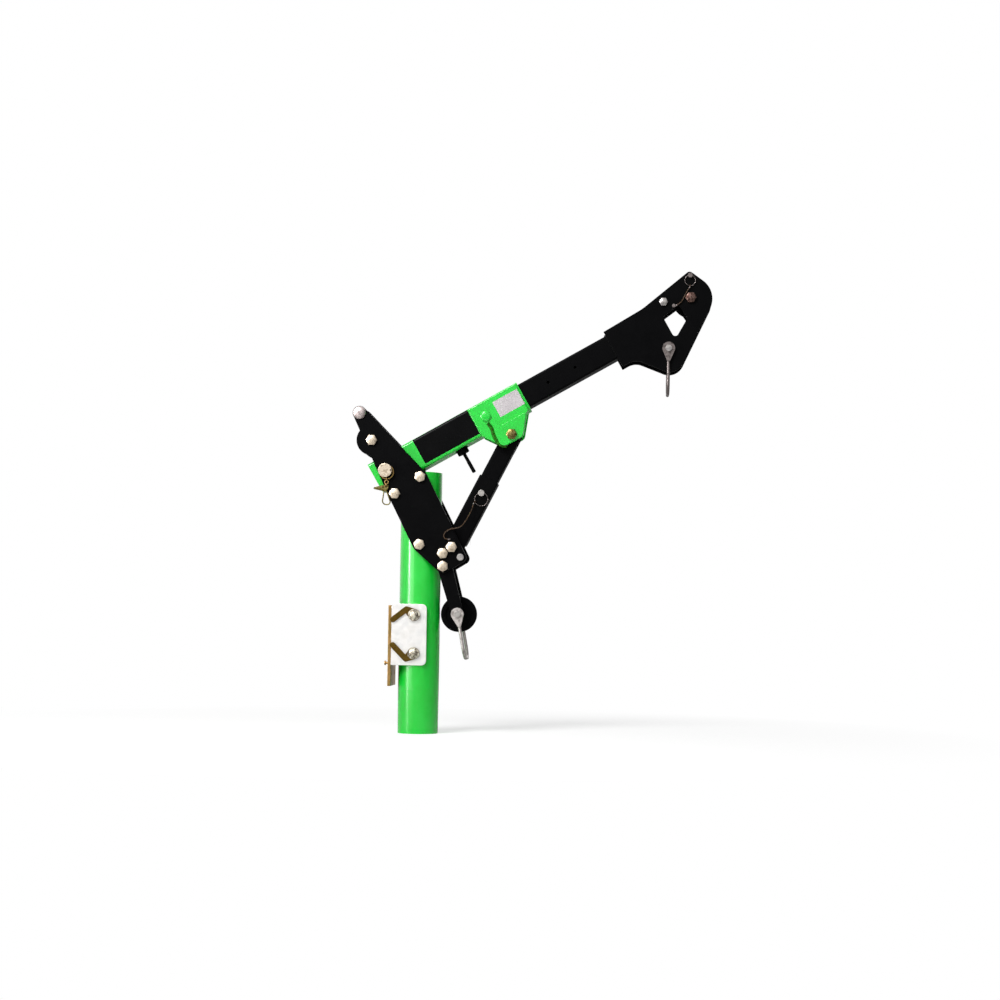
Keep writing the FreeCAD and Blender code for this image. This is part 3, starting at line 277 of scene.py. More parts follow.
# Brownish steel, as on the strut's top bolt and the linchpin, with an olive cast that is a painted reflection
# of the green paint round them
STEEL_PAINTED_REFLECTION = Finish("steel_painted_green_reflection", ("#55481F", "#857B4C", "#4A3F1C", "#6C6336"), cloud=9,
                     roughness=(0.3, 0.42), metallic=1.0, grain=0.8, relief=0.008, edge=0.5)
# Forged steel of the lower bail: grey and worn bright
FORGED_STEEL = Finish("worn_forged_steel", ("#A09A97", "#B7B1AE", "#8A8481"), cloud=14,
                      roughness=(0.44, 0.56), metallic=1.0, grain=1.2, relief=0.004, edge=0.5)
# Bronze of the bushings: brown and dull
BRONZE = Finish("dull_bronze", ("#6E5944", "#8F7660", "#A1876F"), cloud=5, roughness=(0.36, 0.48),
                metallic=1.0, grain=0.6, relief=0.008, edge=0.3)
# Cast nylon of the sheaves: black, softly shining, with faint turning marks
BLACK_NYLON = Finish("black_cast_nylon", ("#040405", "#080809"), cloud=20, roughness=(0.4, 0.5), grain=0.8,
                     relief=0.008, edge=0.6, gloss=0.02)
# Vinyl jacket of the wire rope: clear brown, shining over the strands
ROPE_JACKET = Finish("vinyl_coated_rope", ("#3B2A1C", "#57402C"), cloud=3, roughness=(0.24, 0.34), grain=0.4,
                     relief=0.01, edge=0.2, gloss=0.4)
# Drawn steel wire of the lanyards' strands, seen through the jacket: dark brown with fine bright lines
ROPE_STRAND = Finish("drawn_strand_wire", ("#382A20", "#4D3D2F", "#2E231B"), cloud=2, roughness=(0.32, 0.44),
                     metallic=1.0, grain=0.3, relief=0.005, edge=0.1)
# Cast vinyl film: smooth, thin and slightly glossier than the paint under it
DARK_FILM = Finish("dark_vinyl_film", ("#040405", "#080809"), cloud=50, roughness=(0.24, 0.3), grain=6,
                   relief=0.005, edge=0.1, gloss=0.06)
PALE_FILM = Finish("pale_vinyl_film", ("#C9C3C6", "#D3CDD0"), cloud=30, roughness=(0.3, 0.4), grain=6,
                   relief=0.005, edge=0.1, gloss=0.4)
# Thin coat over the bead behind a lapped plate, in a dark green that is painted shade along the plate's edge
SEAM_PAINTED_SHADE = Finish("bead_painted_shade", ("#0F6A0A", "#2C8A1C", "#2C4E0C", "#14600C"), cloud=9,
              roughness=(0.5, 0.65), grain=1.0, relief=0.02, edge=0.2, gloss=0.1)

FINISH_OF_SLOT = {
    Slot.GREEN_PAINT: GREEN_COAT,
    Slot.BLACK_PAINT: BLACK_COAT,
    Slot.PALE_ZINC: PALE_ZINC,
    Slot.BARE_STEEL: BARE_STEEL,
    Slot.YELLOW_ZINC: YELLOW_ZINC,
    Slot.BRONZE: BRONZE,
    Slot.BLACK_NYLON: BLACK_NYLON,
    Slot.LANYARD_WIRE: ROPE_JACKET,
}

FINISH_OF_NODE = {
    "bracket_cheek_near": CLEAR_ZINC, "bracket_cheek_far": CLEAR_ZINC, "bracket_bolts": SPOTTED_ZINC,
    "bracket_arms": CHROMATE_ZINC_PAINTED_SHADE, "tip_bolt": TURNED_STEEL, "head_axle": STEEL_PAINTED_SHADE,
    "strut_top_bolt": STEEL_PAINTED_REFLECTION, "strut_top_nut": STEEL_PAINTED_REFLECTION, "linchpin": STEEL_PAINTED_REFLECTION,
    "head_bail": DARK_STEEL, "keeper_pin": DARK_STEEL, "strut_pin_ring": DARK_STEEL,
    "keeper_pin_ring": DARK_STEEL, "keeper_anchor": DARK_STEEL, "lower_bail": FORGED_STEEL,
}


def finish_of(node: str) -> Finish:
    """Gives a CAD node's own finish, or else its material slot's."""
    return FINISH_OF_NODE.get(node) or FINISH_OF_SLOT[Slot(SLOT_OF[node])]


class Workshop:
    """Turns sketches of meshes into finished pieces, and keeps one material for each finish.

    Attributes:
        sharp: Angle from which an edge is shaded as a sharp one.
    """

    sharp: float = math.radians(32)

    def __init__(self) -> None:
        """Starts with no material made."""
        self.made: dict[Finish, bpy.types.Material] = {}

    def finish(self, finish: Finish) -> bpy.types.Material:
        """Gives the material of a finish, made once.

        Args:
            finish: The finish.

        Returns:
            Its material.
        """
        if finish not in self.made:
            self.made[finish] = finish.material()
        return self.made[finish]

    def dress_frame(self) -> None:
        """Gives every CAD node its finish."""
        for node, solid in frame["nodes"].items():
            material = self.finish(finish_of(node))
            if solid.material_slots:
                for place in solid.material_slots:
                    place.material = material
            else:
                solid.data.materials.append(material)

    def piece(self, name: str, sketch: Sketch, body: str, slot: Slot, finish: Finish | None = None,
              node: str = "", turn_out: bool = True) -> bpy.types.Object:
        """Makes a finished piece that rides on a body.

        Args:
            name: Name of the piece.
            sketch: Its mesh, in place, which is freed.
            body: Body that it moves with.
            slot: Record's material slot that it takes its finish from.
            finish: Its own finish, where its slot's isn't right.
            node: CAD node that it replaces.
            turn_out: Whether its faces are turned outwards, which a copy of a CAD node doesn't need.

        Returns:
            The new object.
        """
        if turn_out:
            bmesh.ops.recalc_face_normals(sketch, faces=sketch.faces)
        mesh = bpy.data.meshes.new(name)
        sketch.to_mesh(mesh)
        sketch.free()
        mesh.shade_smooth()
        mesh.set_sharp_from_angle(angle=self.sharp)
        mesh.materials.append(self.finish(finish or FINISH_OF_SLOT[slot]))
        made = bpy.data.objects.new(name, mesh)
        bpy.context.collection.objects.link(made)
        made.modifiers.new("even_shading", "WEIGHTED_NORMAL").keep_sharp = True
        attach(made, body)
        if node:
            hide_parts(node)
        LOG.info("%s: %d faces, rides on %s", name, len(mesh.polygons), body)
        return made

    def stand_in(self, node: str, sketch: Sketch, turn_out: bool = True) -> None:
        """Makes the piece that takes a CAD node's place, with the node's own body, slot and finish."""
        slot = Slot(SLOT_OF[node])
        self.piece(f"{node}_form", sketch, BODY_OF[node], slot, finish_of(node), node, turn_out)


@dataclass(frozen=True)
class Ring:
    """One level of a turned or hexagonal form.

    Attributes:
        radius: Radius, or half the width across flats where the level is hexagonal.
        height: Distance along the form's axis.
        flats: Whether the level is a hexagon.
        slope: Fall of the level for each unit that a corner lies outside the radius.
    """

    radius: float
    height: float
    flats: bool = False
    slope: float = 0.0

    def put(self, corner: Corner) -> None:
        """Moves a vertex out or in to this level, on its own bearing.

        Args:
            corner: The vertex.
        """
        bearing = math.atan2(corner.co.y, corner.co.x)
        reach = self.radius
        if self.flats:
            reach /= math.cos(bearing % math.radians(60) - math.radians(30))
        drop = self.slope * max(0.0, reach - self.radius)
        corner.co = (reach * math.cos(bearing), reach * math.sin(bearing), self.height - drop)


def disc(radius: float, height: float, foot_ease: float, top_ease: float) -> list[Ring]:
    """Gives the rings of a disc that stands at zero, with its edges eased at the foot and at the top."""
    return [Ring(radius - foot_ease, 0), Ring(radius, foot_ease), Ring(radius, height - top_ease),
            Ring(radius - top_ease, height)]


def new_verts(made: dict[str, Any]) -> list[Corner]:
    """Picks the vertices from what a bmesh operator made."""
    return [item for item in made["geom"] if isinstance(item, Corner)]


def first_loop(sketch: Sketch, segments: int, capped: bool) -> tuple[list[Corner], list[Edge]]:
    """Starts a form with a circle, and gives the circle's vertices and edges."""
    corners = bmesh.ops.create_circle(sketch, cap_ends=capped, segments=segments, radius=1.0)["verts"]
    return list(corners), list(dict.fromkeys(edge for corner in corners for edge in corner.link_edges))


def next_loop(sketch: Sketch, loop: list[Edge]) -> tuple[list[Corner], list[Edge]]:
    """Extrudes a form's last loop, and gives the new loop's vertices and edges.

    Args:
        sketch: Mesh that has the form.
        loop: Edges of the last loop.

    Returns:
        Vertices and edges of the new one.
    """
    made = bmesh.ops.extrude_edge_only(sketch, edges=loop)
    corners = new_verts(made)
    fresh = set(corners)
    edges = [item for item in made["geom"] if isinstance(item, Edge) and fresh.issuperset(item.verts)]
    return corners, edges


def close_form(sketch: Sketch, first: list[Edge], last: list[Edge], joined: bool) -> None:
    """Joins a form's last loop to its first, or else caps it.

    Args:
        sketch: Mesh that has the form.
        first: Edges of the first loop.
        last: Edges of the last one.
        joined: Whether they are joined.
    """
    if joined:
        bmesh.ops.bridge_loops(sketch, edges=first + last)
    else:
        bmesh.ops.contextual_create(sketch, geom=last)


def raise_form(sketch: Sketch, rings: Sequence[Ring], place: Matrix, segments: int = 48,
               hollow: bool = False) -> None:
    """Raises a form from rings, each extruded from the last, and sets it in place.

    Args:
        sketch: Mesh that gets the form.
        rings: Levels from one end to the other, or once round the section of a hollow form.
        place: Where the form's foot and axis go.
        segments: Sides of each ring.
        hollow: Whether the last ring joins the first instead of both being capped.
    """
    placed, first = first_loop(sketch, segments, not hollow)
    for corner in placed:
        rings[0].put(corner)
    loop = first
    for ring in rings[1:]:
        corners, loop = next_loop(sketch, loop)
        for corner in corners:
            ring.put(corner)
        placed += corners
    close_form(sketch, first, loop, hollow)
    bmesh.ops.transform(sketch, matrix=place, verts=placed)


def sweep(sketch: Sketch, path: Sequence[Vector], radii: Sequence[float], segments: int = 8,
          closed: bool = False) -> None:
    """Draws a round section along a path, with a radius for each point.

    Args:
        sketch: Mesh that gets the form.
        path: Points of the centreline.
        radii: Radius at each point.
        segments: Sides of the section.
        closed: Whether the path comes back to its first point.
    """
    count = len(path)
    stations = []
    turn = (path[1] - path[0]).to_track_quat("Z", "Y")
    heading = (path[1] - path[0]).normalized()
    for number, point in enumerate(path):
        ahead = path[(number + 1) % count] if closed else path[min(number + 1, count - 1)]
        behind = path[number - 1] if closed or number else path[0]
        new_heading = (ahead - behind).normalized()
        turn = heading.rotation_difference(new_heading) @ turn
        heading = new_heading
        size = Matrix.Diagonal((radii[number],) * 3).to_4x4()
        stations.append(Matrix.Translation(point) @ turn.to_matrix().to_4x4() @ size)
    ring, first = first_loop(sketch, segments, not closed)
    bmesh.ops.transform(sketch, matrix=stations[0], verts=ring)
    loop = first
    for before, after in zip(stations, stations[1:]):
        corners, loop = next_loop(sketch, loop)
        bmesh.ops.transform(sketch, matrix=after @ before.inverted(), verts=corners)
    close_form(sketch, first, loop, closed)


def across(x: float, y: float, z: float, side: Side, turn: float = 0.0) -> Matrix:
    """Places a form on a face square to Y, pointing to a side of the davit and turned about its own axis."""
    lean = Matrix.Rotation(math.radians(-90 * side.value), 4, "X")
    return Matrix.Translation((x, y, z)) @ lean @ Matrix.Rotation(turn, 4, "Z")


def middle(node: str) -> Vector:
    """Gives the middle of a CAD node's box."""
    low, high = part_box(node)
    return (low + high) / 2


def ring_sizes(node: str) -> tuple[Vector, float, float]:
    """Gives the middle, the radius and the wire's radius of a CAD node that is a ring square to Y."""
    low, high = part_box(node)
    return middle(node), (high.x - low.x) / 2 - (high.y - low.y) / 2, (high.y - low.y) / 2


def merged(node: str) -> Sketch:
    """Copies a CAD node's mesh, with its loose triangles joined up.

    Args:
        node: Name of the node.

    Returns:
        The copy.
    """
    sketch = bmesh.new()
    sketch.from_mesh(frame["nodes"][node].data)
    bmesh.ops.remove_doubles(sketch, verts=sketch.verts, dist=0.002 * MM)
    return sketch


def extent(corners: Sequence[Corner]) -> tuple[Vector, Vector]:
    """Gives the low and high corner of the box round some vertices."""
    places = [corner.co for corner in corners]
    return Vector(map(min, *places)), Vector(map(max, *places))


@dataclass(frozen=True)
class Lump:
    """Box round one solid of a CAD node.

    Attributes:
        low: Its low corner.
        high: Its high corner.
    """

    low: Vector
    high: Vector

    @property
    def centre(self) -> Vector:
        """Middle of the box."""
        return (self.low + self.high) / 2

    @property
    def flats(self) -> float:
        """Width across flats of a hexagon seen along Y."""
        return min(self.high.x - self.low.x, self.high.z - self.low.z)


def lumps(node: str) -> list[Lump]:
    """Finds the separate solids of a CAD node.

    Args:
        node: Name of the node.

    Returns:
        A box for each solid, from left to right.
    """
    sketch = merged(node)
    left = set(sketch.verts)
    found = []
    while left:
        waiting = [left.pop()]
        solid = list(waiting)
        while waiting:
            corner = waiting.pop()
            for edge in corner.link_edges:
                other = edge.other_vert(corner)
                if other in left:
                    left.remove(other)
                    waiting.append(other)
                    solid.append(other)
        found.append(Lump(*extent(solid)))
    sketch.free()
    return sorted(found, key=lambda lump: (round(lump.centre.x, 4), lump.centre.z))


@dataclass
class BoomAxes:
    """The boom's own axes, from its pivot.

    Attributes:
        rise: Angle of the boom over the horizon.
        matrix: From the boom's axes to the davit's.
    """

    rise: float = math.radians(30)
    matrix: Matrix = field(init=False)

    def __post_init__(self) -> None:
        """Works the matrix out from the pivot pin's place."""
        pivot = middle("pivot_pin")
        base = Matrix.Translation((pivot.x, 0, pivot.z))
        self.matrix = base @ Matrix.Rotation(-self.rise, 4, "Y")

    def point(self, s: float, y: float, q: float) -> Vector:
        """Gives the point at s along the boom from its pivot, y across it and q square to it."""
        return self.matrix @ Vector((s, y, q))


@dataclass
class Assembly:
    """Sub-assembly of the davit.

    Attributes:
        workshop: Makes its pieces.
        boom: The boom's axes.
    """

    workshop: Workshop
    boom: BoomAxes

    def build(self) -> None:
        """Makes the pieces of the sub-assembly, in its own class."""
        raise NotImplementedError


@dataclass
class Plating(Assembly):
    """Bevelled copies of the CAD's plates, tubes and bars, with soft edges in place of knife edges.

    Attributes:
        edges: Edge radius of each node, in millimetres. Round bars that have no edge get none.
        steps: Flats across each rounded edge.
        corner: Angle from which an edge counts as an edge of the form.
        course: Height of the mast's bands of faces, which keep its long reflections straight.
        foot: Length of the mast's turned foot.
        foot_step: Step at its top, which the paint fills out to a slight taper.
        foot_skin: Depth under the tube's face in which a vertex belongs to the foot's outside.
        foot_end: Height up to which it does.
        flat: Turn under which two faces become one.
        snap: Distance under which a band's cut runs through a vertex.
        join: Distance under which the mast's vertices become one.
    """

    edges: dict[str, float] = field(default_factory=lambda: {
        "mast_tube": 0.8, "side_plate_near": 0.9, "side_plate_far": 0.9, "strut_lanyard_tab": 0.3,
        "tip_spacer": 0.6, "lower_arm_bars": 0.9, "bracket_cheek_near": 0.9, "bracket_cheek_far": 0.9,
        "bracket_back_plate": 0.9, "bracket_arms": 0.8, "sleeve_tube": 0.8, "gusset_plates": 0.9,
        "gusset_doublers": 0.9, "clamp_boss": 1.0, "boom_inner_tube": 0.7, "head_plate_near": 0.9,
        "head_plate_far": 0.9, "strut_outer_tube": 0.5, "strut_inner_tube": 0.5, "head_sheave": 0.8,
        "rear_sheave": 0.8, "lower_sheave": 0.8, "lower_axle": 0.6, "head_bail_pin": 0.6, "pivot_pin": 1.2,
        "strut_pin": 0.8, "keeper_pin": 0.6, "stop_pin": 0.8, "head_bail": 0.0, "lower_bail": 0.0,
        "linchpin": 0.4,
    })
    steps: int = 2
    corner: float = math.radians(30)
    course: float = 20 * MM
    foot: float = 110 * MM
    foot_step: float = 0.8 * MM
    foot_skin: float = 2.4 * MM
    foot_end: float = 111.6 * MM
    flat: float = math.radians(0.3)
    snap: float = 0.01 * MM
    join: float = 0.05 * MM

    def copy(self, node: str, edge: float) -> Sketch:
        """Copies a node with rounded edges.

        Args:
            node: Name of the node.
            edge: Edge radius, in millimetres.

        Returns:
            The copy's mesh.
        """
        sketch = merged(node)
        if not edge:
            return sketch
        bmesh.ops.dissolve_limit(sketch, angle_limit=self.flat, verts=sketch.verts, edges=sketch.edges)
        sharp = [line for line in sketch.edges
                 if len(line.link_faces) == 2 and line.calc_face_angle() > self.corner]
        bmesh.ops.bevel(sketch, geom=sharp, offset=edge * MM, segments=self.steps, profile=0.5,
                        affect="EDGES", material=-1, clamp_overlap=False)
        if node == "mast_tube":
            self.band(sketch)
        return sketch

    def band(self, sketch: Sketch) -> None:
        """Cuts the mast's copy into level bands and fills out its foot.

        Args:
            sketch: Mesh of the copy.
        """
        levels = [corner.co.z for corner in sketch.verts]
        for number in range(1, int((max(levels) - min(levels)) / self.course)):
            everything = [*sketch.verts, *sketch.edges, *sketch.faces]
            level = min(levels) + number * self.course
            bmesh.ops.bisect_plane(sketch, geom=everything, dist=self.snap, plane_co=(0, 0, level),
                                   plane_no=(0, 0, 1))
        widest = max(corner.co.xy.length for corner in sketch.verts)
        for corner in sketch.verts:
            reach = corner.co.xy.length
            if reach > widest - self.foot_skin and corner.co.z < self.foot_end:
                grown = min(widest, reach + self.foot_step * min(1.0, corner.co.z / self.foot))
                corner.co.xy *= grown / reach
        bmesh.ops.remove_doubles(sketch, verts=sketch.verts, dist=self.join)

    def build(self) -> None:
        """Makes the copies."""
        for node, edge in self.edges.items():
            self.workshop.stand_in(node, self.copy(node, edge), turn_out=False)


@dataclass
class Fasteners(Assembly):
    """Hexagon bolts and nuts, with washers, chamfers and threads, on the places of the CAD's plain ones.

    Attributes:
        bolts: Plate under the heads and radius of the shank, for each node of bolts.
        bores: Radius of each nut's bore, from left to right, for each node of nuts.
        chamfer: Fall of a hexagon's corners for each unit outside its round face.
        washer_height: Thickness of the washer under each head and nut.
        washer_ease: Width of its eased edges.
        face_share: Radius of the head's round face over half the width across flats.
        crown: Rise of the head's face towards its middle.
        crown_shares: Rings of that rise, over the radius of the round face.
        shoulder: Height of a nut's hexagon over the whole nut's.
        collar: Radius of the collar above it over half the width across flats, and of the collar's outer end.
        collar_rim: Height where the collar starts to narrow over the whole nut's.
        pitch: Thread pitch.
        thread_depth: Depth of the thread.
        thread_length: Length of the thread from the bolt's end.
        crest: Height of a thread's crest over the pitch.
        end_share: Radius of the bolt end's flat over the shank's.
        turn_step: Turn from one head to the next, so that they don't line up.
    """

    bolts: dict[str, tuple[str, float]] = field(default_factory=lambda: {
        "plate_bolts": ("side_plate_near", 8 * MM), "rear_axle_bolt": ("side_plate_near", 8 * MM),
        "strut_foot_bolt": ("strut_lanyard_tab", 8 * MM), "cross_pin": ("gusset_plates", 7.95 * MM),
        "strut_top_bolt": ("gusset_doublers", 8 * MM), "head_axle": ("head_plate_near", 8 * MM),
        "head_guard_bolt": ("head_plate_near", 6 * MM),
    })
    bores: dict[str, tuple[float, ...]] = field(default_factory=lambda: {
        "plate_nuts": (8 * MM,), "strut_top_nut": (8 * MM,), "head_nuts": (6 * MM, 8 * MM),
    })
    chamfer: float = math.tan(math.radians(30))
    washer_height: float = 2.2 * MM
    washer_ease: float = 0.3 * MM
    face_share: float = 0.88
    crown: float = 1.5 * MM
    crown_shares: tuple[float, ...] = (0.85, 0.65, 0.45, 0.25, 0.1)
    shoulder: float = 0.72
    collar: tuple[float, float] = (0.86, 0.78)
    collar_rim: float = 0.92
    pitch: float = 2 * MM
    thread_depth: float = 0.9 * MM
    thread_length: float = 20 * MM
    crest: float = 0.6
    end_share: float = 0.4
    turn_step: float = math.radians(23)

    def hexagon(self, half: float, low: float, high: float) -> list[Ring]:
        """Gives the rings of a chamfered hexagon.

        Args:
            half: Half its width across flats.
            low: Height of its lower edge.
            high: Height of its outer face.

        Returns:
            Rings from the lower edge to the outer face.
        """
        face = self.face_share * half
        fall = self.chamfer * (half - face)
        return [Ring(half, low, True), Ring(half, high - fall, True, self.chamfer), Ring(face, high)]

    def crowned(self, half: float, low: float, high: float) -> list[Ring]:
        """Gives the rings of a chamfered hexagon with a slightly domed face."""
        dome = [Ring(share * (self.face_share * half), high - self.crown * share ** 2)
                for share in self.crown_shares]
        return self.hexagon(half, low, high - self.crown) + dome

    def washer(self, half: float) -> list[Ring]:
        """Gives the rings of a flat washer under a hexagon of this half width."""
        return disc(half, self.washer_height, self.washer_ease, self.washer_ease)

    def thread(self, shank: float, end: float) -> list[Ring]:
        """Gives the rings of a threaded end.

        Args:
            shank: Radius of the shank.
            end: Height of the end, below zero.

        Returns:
            Rings from the end towards the head.
        """
        root = shank - self.thread_depth
        rings = [Ring(self.end_share * shank, end), Ring(root, end)]
        for number in range(round(self.thread_length / self.pitch)):
            crest = end + (number + self.crest) * self.pitch
            rings += [Ring(shank, crest), Ring(root, crest + self.pitch / 2)]
        return rings

    def bolt(self, sketch: Sketch, lump: Lump, face: float, shank: float, turn: float) -> None:
        """Adds a bolt whose head stands on the near side.

        Args:
            sketch: Mesh that gets the bolt.
            lump: Box of the CAD's bolt.
            face: Level of the face under its head.
            shank: Radius of the shank.
            turn: Turn of its head.
        """
        half = lump.flats / 2
        rings = self.thread(shank, face - lump.high.y)
        rings += [Ring(shank, -self.washer_height)] + self.washer(half)
        rings += self.crowned(half, self.washer_height, face - lump.low.y)
        raise_form(sketch, rings, across(lump.centre.x, face, lump.centre.z, Side.NEAR, turn))

    def nut(self, sketch: Sketch, lump: Lump, bore: float, turn: float) -> None:
        """Adds a lock nut that stands on the far side.

        Args:
            sketch: Mesh that gets the nut.
            lump: Box of the CAD's nut.
            bore: Radius of the nut's bore.
            turn: Turn of the nut.
        """
        half = lump.flats / 2
        height = lump.high.y - lump.low.y
        shoulder = self.shoulder * height
        collar, end = self.collar
        rings = [Ring(bore, 0)] + self.washer(half) + self.hexagon(half, self.washer_height, shoulder)
        rings += [Ring(collar * half, shoulder), Ring(collar * half, self.collar_rim * height),
                  Ring(end * half, height), Ring(bore, height)]
        place = across(lump.centre.x, lump.low.y, lump.centre.z, Side.FAR, turn)
        raise_form(sketch, rings, place, hollow=True)

    def nuts(self, node: str, bores: Sequence[float]) -> None:
        """Makes the nuts of a CAD node.

        Args:
            node: Name of the node.
            bores: Radius of each nut's bore, from left to right; the last one holds for the rest.
        """
        sketch = bmesh.new()
        for number, lump in enumerate(lumps(node)):
            self.nut(sketch, lump, bores[min(number, len(bores) - 1)], number * self.turn_step)
        self.workshop.stand_in(node, sketch)

    def build(self) -> None:
        """Makes every bolt and nut."""
        for node, (plate, shank) in self.bolts.items():
            sketch = bmesh.new()
            for number, lump in enumerate(lumps(node)):
                self.bolt(sketch, lump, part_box(plate)[0].y, shank, number * self.turn_step)
            self.workshop.stand_in(node, sketch)
        for node, bores in self.bores.items():
            self.nuts(node, bores)


@dataclass
class RoundHeads(Assembly):
    """Domed tip bolt and the winch bracket's bolts with their washers.

    Attributes:
        fasteners: Give threads, domed hexagons and nuts.
        shank: Radius of the tip bolt's shank.
        dome_steps: Rings of the dome.
        rim: Height of the dome's straight rim.
        rim_ease: Width of the eased edge at its foot.
        neck: Depth of the last ring of a shank under its head.
        bracket_shank: Radius of the bracket bolts' shanks.
        bracket_washer: Thickness of their washers.
        bracket_ease: Width of the washers' eased edges, at the foot and at the top.
        bracket_head: Half the width of their heads across flats.
    """

    fasteners: Fasteners
    shank: float = 8 * MM
    dome_steps: int = 8
    rim: float = 2.5 * MM
    rim_ease: float = 0.4 * MM
    neck: float = 0.1 * MM
    bracket_shank: float = 6.35 * MM
    bracket_washer: float = 3 * MM
    bracket_ease: tuple[float, float] = (0.3 * MM, 0.4 * MM)
    bracket_head: float = 9.5 * MM

    def dome(self, radius: float, low: float, high: float) -> list[Ring]:
        """Gives the rings of a dome of this radius that rises from low to near high."""
        steps = [math.radians(90) * number / self.dome_steps for number in range(self.dome_steps)]
        return [Ring(radius * math.cos(angle), low + (high - low) * math.sin(angle)) for angle in steps]

    def build(self) -> None:
        """Makes the tip bolt and the bracket's bolts and nuts."""
        tip = lumps("tip_bolt")[0]
        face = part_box("side_plate_near")[0].y
        radius = (tip.high.x - tip.low.x) / 2
        rings = self.fasteners.thread(self.shank, face - tip.high.y)
        rings += [Ring(self.shank, -self.neck), Ring(radius - self.rim_ease, 0), Ring(radius, self.rim_ease)]
        rings += self.dome(radius, self.rim, face - tip.low.y)
        sketch = bmesh.new()
        raise_form(sketch, rings, across(tip.centre.x, face, tip.centre.z, Side.NEAR))
        self.workshop.stand_in("tip_bolt", sketch)
        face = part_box("bracket_arms")[0].y
        sketch = bmesh.new()
        for lump in lumps("bracket_bolts"):
            rings = self.fasteners.thread(self.bracket_shank, face - lump.high.y)
            rings += [Ring(self.bracket_shank, -self.neck)]
            rings += disc((lump.high.x - lump.low.x) / 2, self.bracket_washer, *self.bracket_ease)
            rings += self.fasteners.crowned(self.bracket_head, self.bracket_washer, face - lump.low.y)
            place = across(lump.centre.x, face, lump.centre.z, Side.NEAR, self.fasteners.turn_step)
            raise_form(sketch, rings, place)
        self.workshop.stand_in("bracket_bolts", sketch)
        self.fasteners.nuts("bracket_nuts", (self.bracket_shank,))


